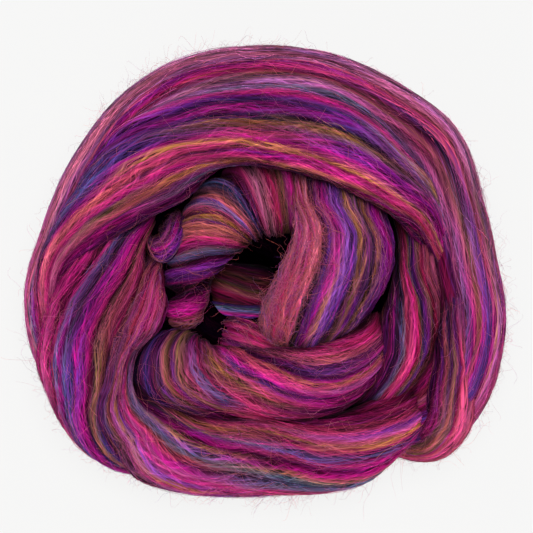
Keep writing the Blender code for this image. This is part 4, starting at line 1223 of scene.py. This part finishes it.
# %% Wisps that lie on the turns
WISPS = patches(
    ("lowest", 0.3, 0.7, 0, 1, 120), ("outer", 0.2, 0.8, 0, 1, 600), ("top", 0.2, 0.8, 0, 1, 520),
    ("left", 0.2, 0.8, 0, 1, 320), ("front", 0.2, 0.8, 0, 1, 480), ("right", 0.2, 0.8, 0, 1, 150),
    ("inner", 0.2, 0.8, 0, 1, 150), ("rim", 0.2, 0.8, 0, 1, 280), ("fan", 0.2, 0.8, 0, 1, 340),
    ("loop", 0.2, 0.8, 0, 1, 300),
)  # fmt: skip
FRIZZ = patches(
    ("loop", 0.56, 0.86, 0.25, 1, 1000, 2.4), ("lip", 0.3, 0.8, 0, 1, 260, 1.8),
    ("front", 0.3, 0.7, 0.1, 0.3, 160, 1.8), ("tuft", 0.3, 0.8, 0, 1, 180, 1.8),
)  # fmt: skip
WISP_STEPS, WISP_MM = 8, (6.0, 22.0)


def lying_wisps(patch, rng):
    """Curls on the surface: a slow bend and a sine wave in across and along, both in millimetres
    over the turn's girth and length. Each lifts in an arc between its two caught ends."""
    turn, surface = TURNS[patch.turn], surfaces[patch.turn]
    t = np.linspace(-0.5, 0.5, WISP_STEPS)[None, :]
    bent = patch.curl**0.5
    draw = drawer(rng, patch.count, 1)
    seen, at = draw(patch.low, patch.high), draw(patch.start, patch.end)
    reach, heading = draw(*WISP_MM) / bent, rng.normal(0, 0.6 * bent, (patch.count, 1))
    curl = draw(0.2, 1.2) * np.sin(draw(3, 9) * bent * t + draw(0, 6)) + draw(-9, 9) * patch.curl * t**2
    forward = reach * t * np.cos(heading) - curl * np.sin(heading)
    sideways = reach * t * np.sin(heading) + curl * np.cos(heading)
    if turn.slant is None:
        seen = seen - read(turn.twist, at)
    else:
        forward, sideways = sideways, forward
    points, normals = on_surface(patch.turn, seen + sideways / surface.girth, at + forward / surface.length)
    arc = 1 - (2 * t) ** 2
    lift = draw(0.1, 0.9) * patch.curl * arc + 0.2 * arc - 0.15
    return points + normals * lift[..., None], normals


# %% Fibres that stand off
HALO = patches(
    ("lowest", 0.4, 0.6, 0, 1, 130), ("outer", 0.3, 0.56, 0, 1, 560),
    ("outer", 0.40, 0.56, 0.5, 0.64, 170), ("outer", 0.40, 0.56, 0.16, 0.34, 150),
    ("top", 0.2, 0.8, 0, 1, 110), ("left", 0.22, 0.5, 0.3, 0.9, 220),
    ("front", 0.24, 0.5, 0.45, 0.95, 300), ("front", 0.28, 0.4, 0.68, 0.75, 70, 1.5),
    ("right", 0.25, 0.5, 0.5, 0.95, 90), ("rim", 0.2, 0.8, 0, 1, 60), ("fan", 0.2, 0.8, 0, 1, 40),
    ("loop", 0.6, 0.85, 0.4, 1, 200),
)  # fmt: skip
HALO_STEPS, HALO_MM = 11, (3, 11)
LONG_SHARE, LONG_TIMES = 0.08, 1.7  # a few are longer
HALO_FAR = np.array([112.5, 106.5])  # how far from the middle a tip may come, in x and y
ROOT_MM, FLOOR_CLEAR = 0.3, 0.5  # how deep a root lies, and how far over the floor a fibre stays


def standing_wisps(patch, rng):
    """Path = root + length * (along * t + out * (a t - b t^2) + curl), where the curl is a bend and
    two sine waves that grow with t. The root lies just under the surface, and a fibre that would
    come out of HALO_FAR is made smaller."""
    turn, count = TURNS[patch.turn], patch.count
    t = np.linspace(0, 1, HALO_STEPS)[None, :, None]
    place, draw = drawer(rng, count, 1), drawer(rng, count, 1, 1)
    at, u = place(patch.start, patch.end), place(patch.low, patch.high)
    if turn.slant is None:
        u = u - read(turn.twist, at)
    root, normal = on_surface(patch.turn, u, at)
    ahead, _ = on_surface(patch.turn, u, at + 0.01)
    ahead = unit(ahead - root) * rng.choice([-1, 1], (count, 1, 1))
    side = np.cross(normal, ahead)
    length = draw(*HALO_MM) * np.where(draw(0, 1) < LONG_SHARE, LONG_TIMES, 1.0)
    bend = ahead * draw(0.3, 1.0) * t + normal * patch.curl * (draw(0.3, 0.9) * t - draw(0.0, 0.6) * t**2)
    curl = side * draw(-1.1, 1.1) * t**2 + side * 0.16 * t * np.sin(draw(5, 12) * t + draw(0, 6))
    curl = curl + normal * 0.14 * t * np.sin(draw(5, 12) * t + draw(0, 6))
    offset = length * (bend + curl)
    reach = np.maximum(np.abs(offset[..., :2]).max(axis=1, keepdims=True), 0.01)
    room = ((HALO_FAR - np.abs(root[..., :2])) / reach).min(axis=-1, keepdims=True)
    paths = root - ROOT_MM * normal + offset * np.minimum(room, 1)
    paths[..., 2] = np.maximum(paths[..., 2], FLOOR_CLEAR)
    return paths, np.broadcast_to(normal, paths.shape)


def wisps(name, maker, patches, radius_mm, seed):
    """One mesh of the wisps of several patches. Each wisp has one dye of its own."""
    rng = np.random.default_rng(seed)
    parts = [maker(patch, rng) for patch in patches]
    paths, normals = (np.concatenate([part[k] for part in parts]) for k in range(2))
    count, steps = paths.shape[:2]
    draw = drawer(rng, count, 1)
    place = np.broadcast_arrays(draw(0, 1), draw(0, 1) + np.linspace(0, 0.01, steps))
    radius = draw(*radius_mm)
    print(name, count)
    shine = rng.uniform(0.6, 1.3, count)
    return tubes(name, paths, normals, radius, np.stack(place, axis=-1), shine, wisp_wool)


loose_pieces = laid + [
    wisps("wisps", lying_wisps, WISPS, (0.022, 0.045), 801),
    wisps("frizz", lying_wisps, FRIZZ, (0.03, 0.07), 803),
    wisps("halo", standing_wisps, HALO, (0.018, 0.034), 802),
]

# %% The pieces ride, and the frame is finished
pieces = turn_pieces + [heart] + loose_pieces
for piece in pieces:
    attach(piece, "root")
    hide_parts(NODE)
    print(piece.name, len(piece.data.polygons), "triangles")
print("all:", sum(len(piece.data.polygons) for piece in pieces), "triangles")

bpy.context.view_layer.update()
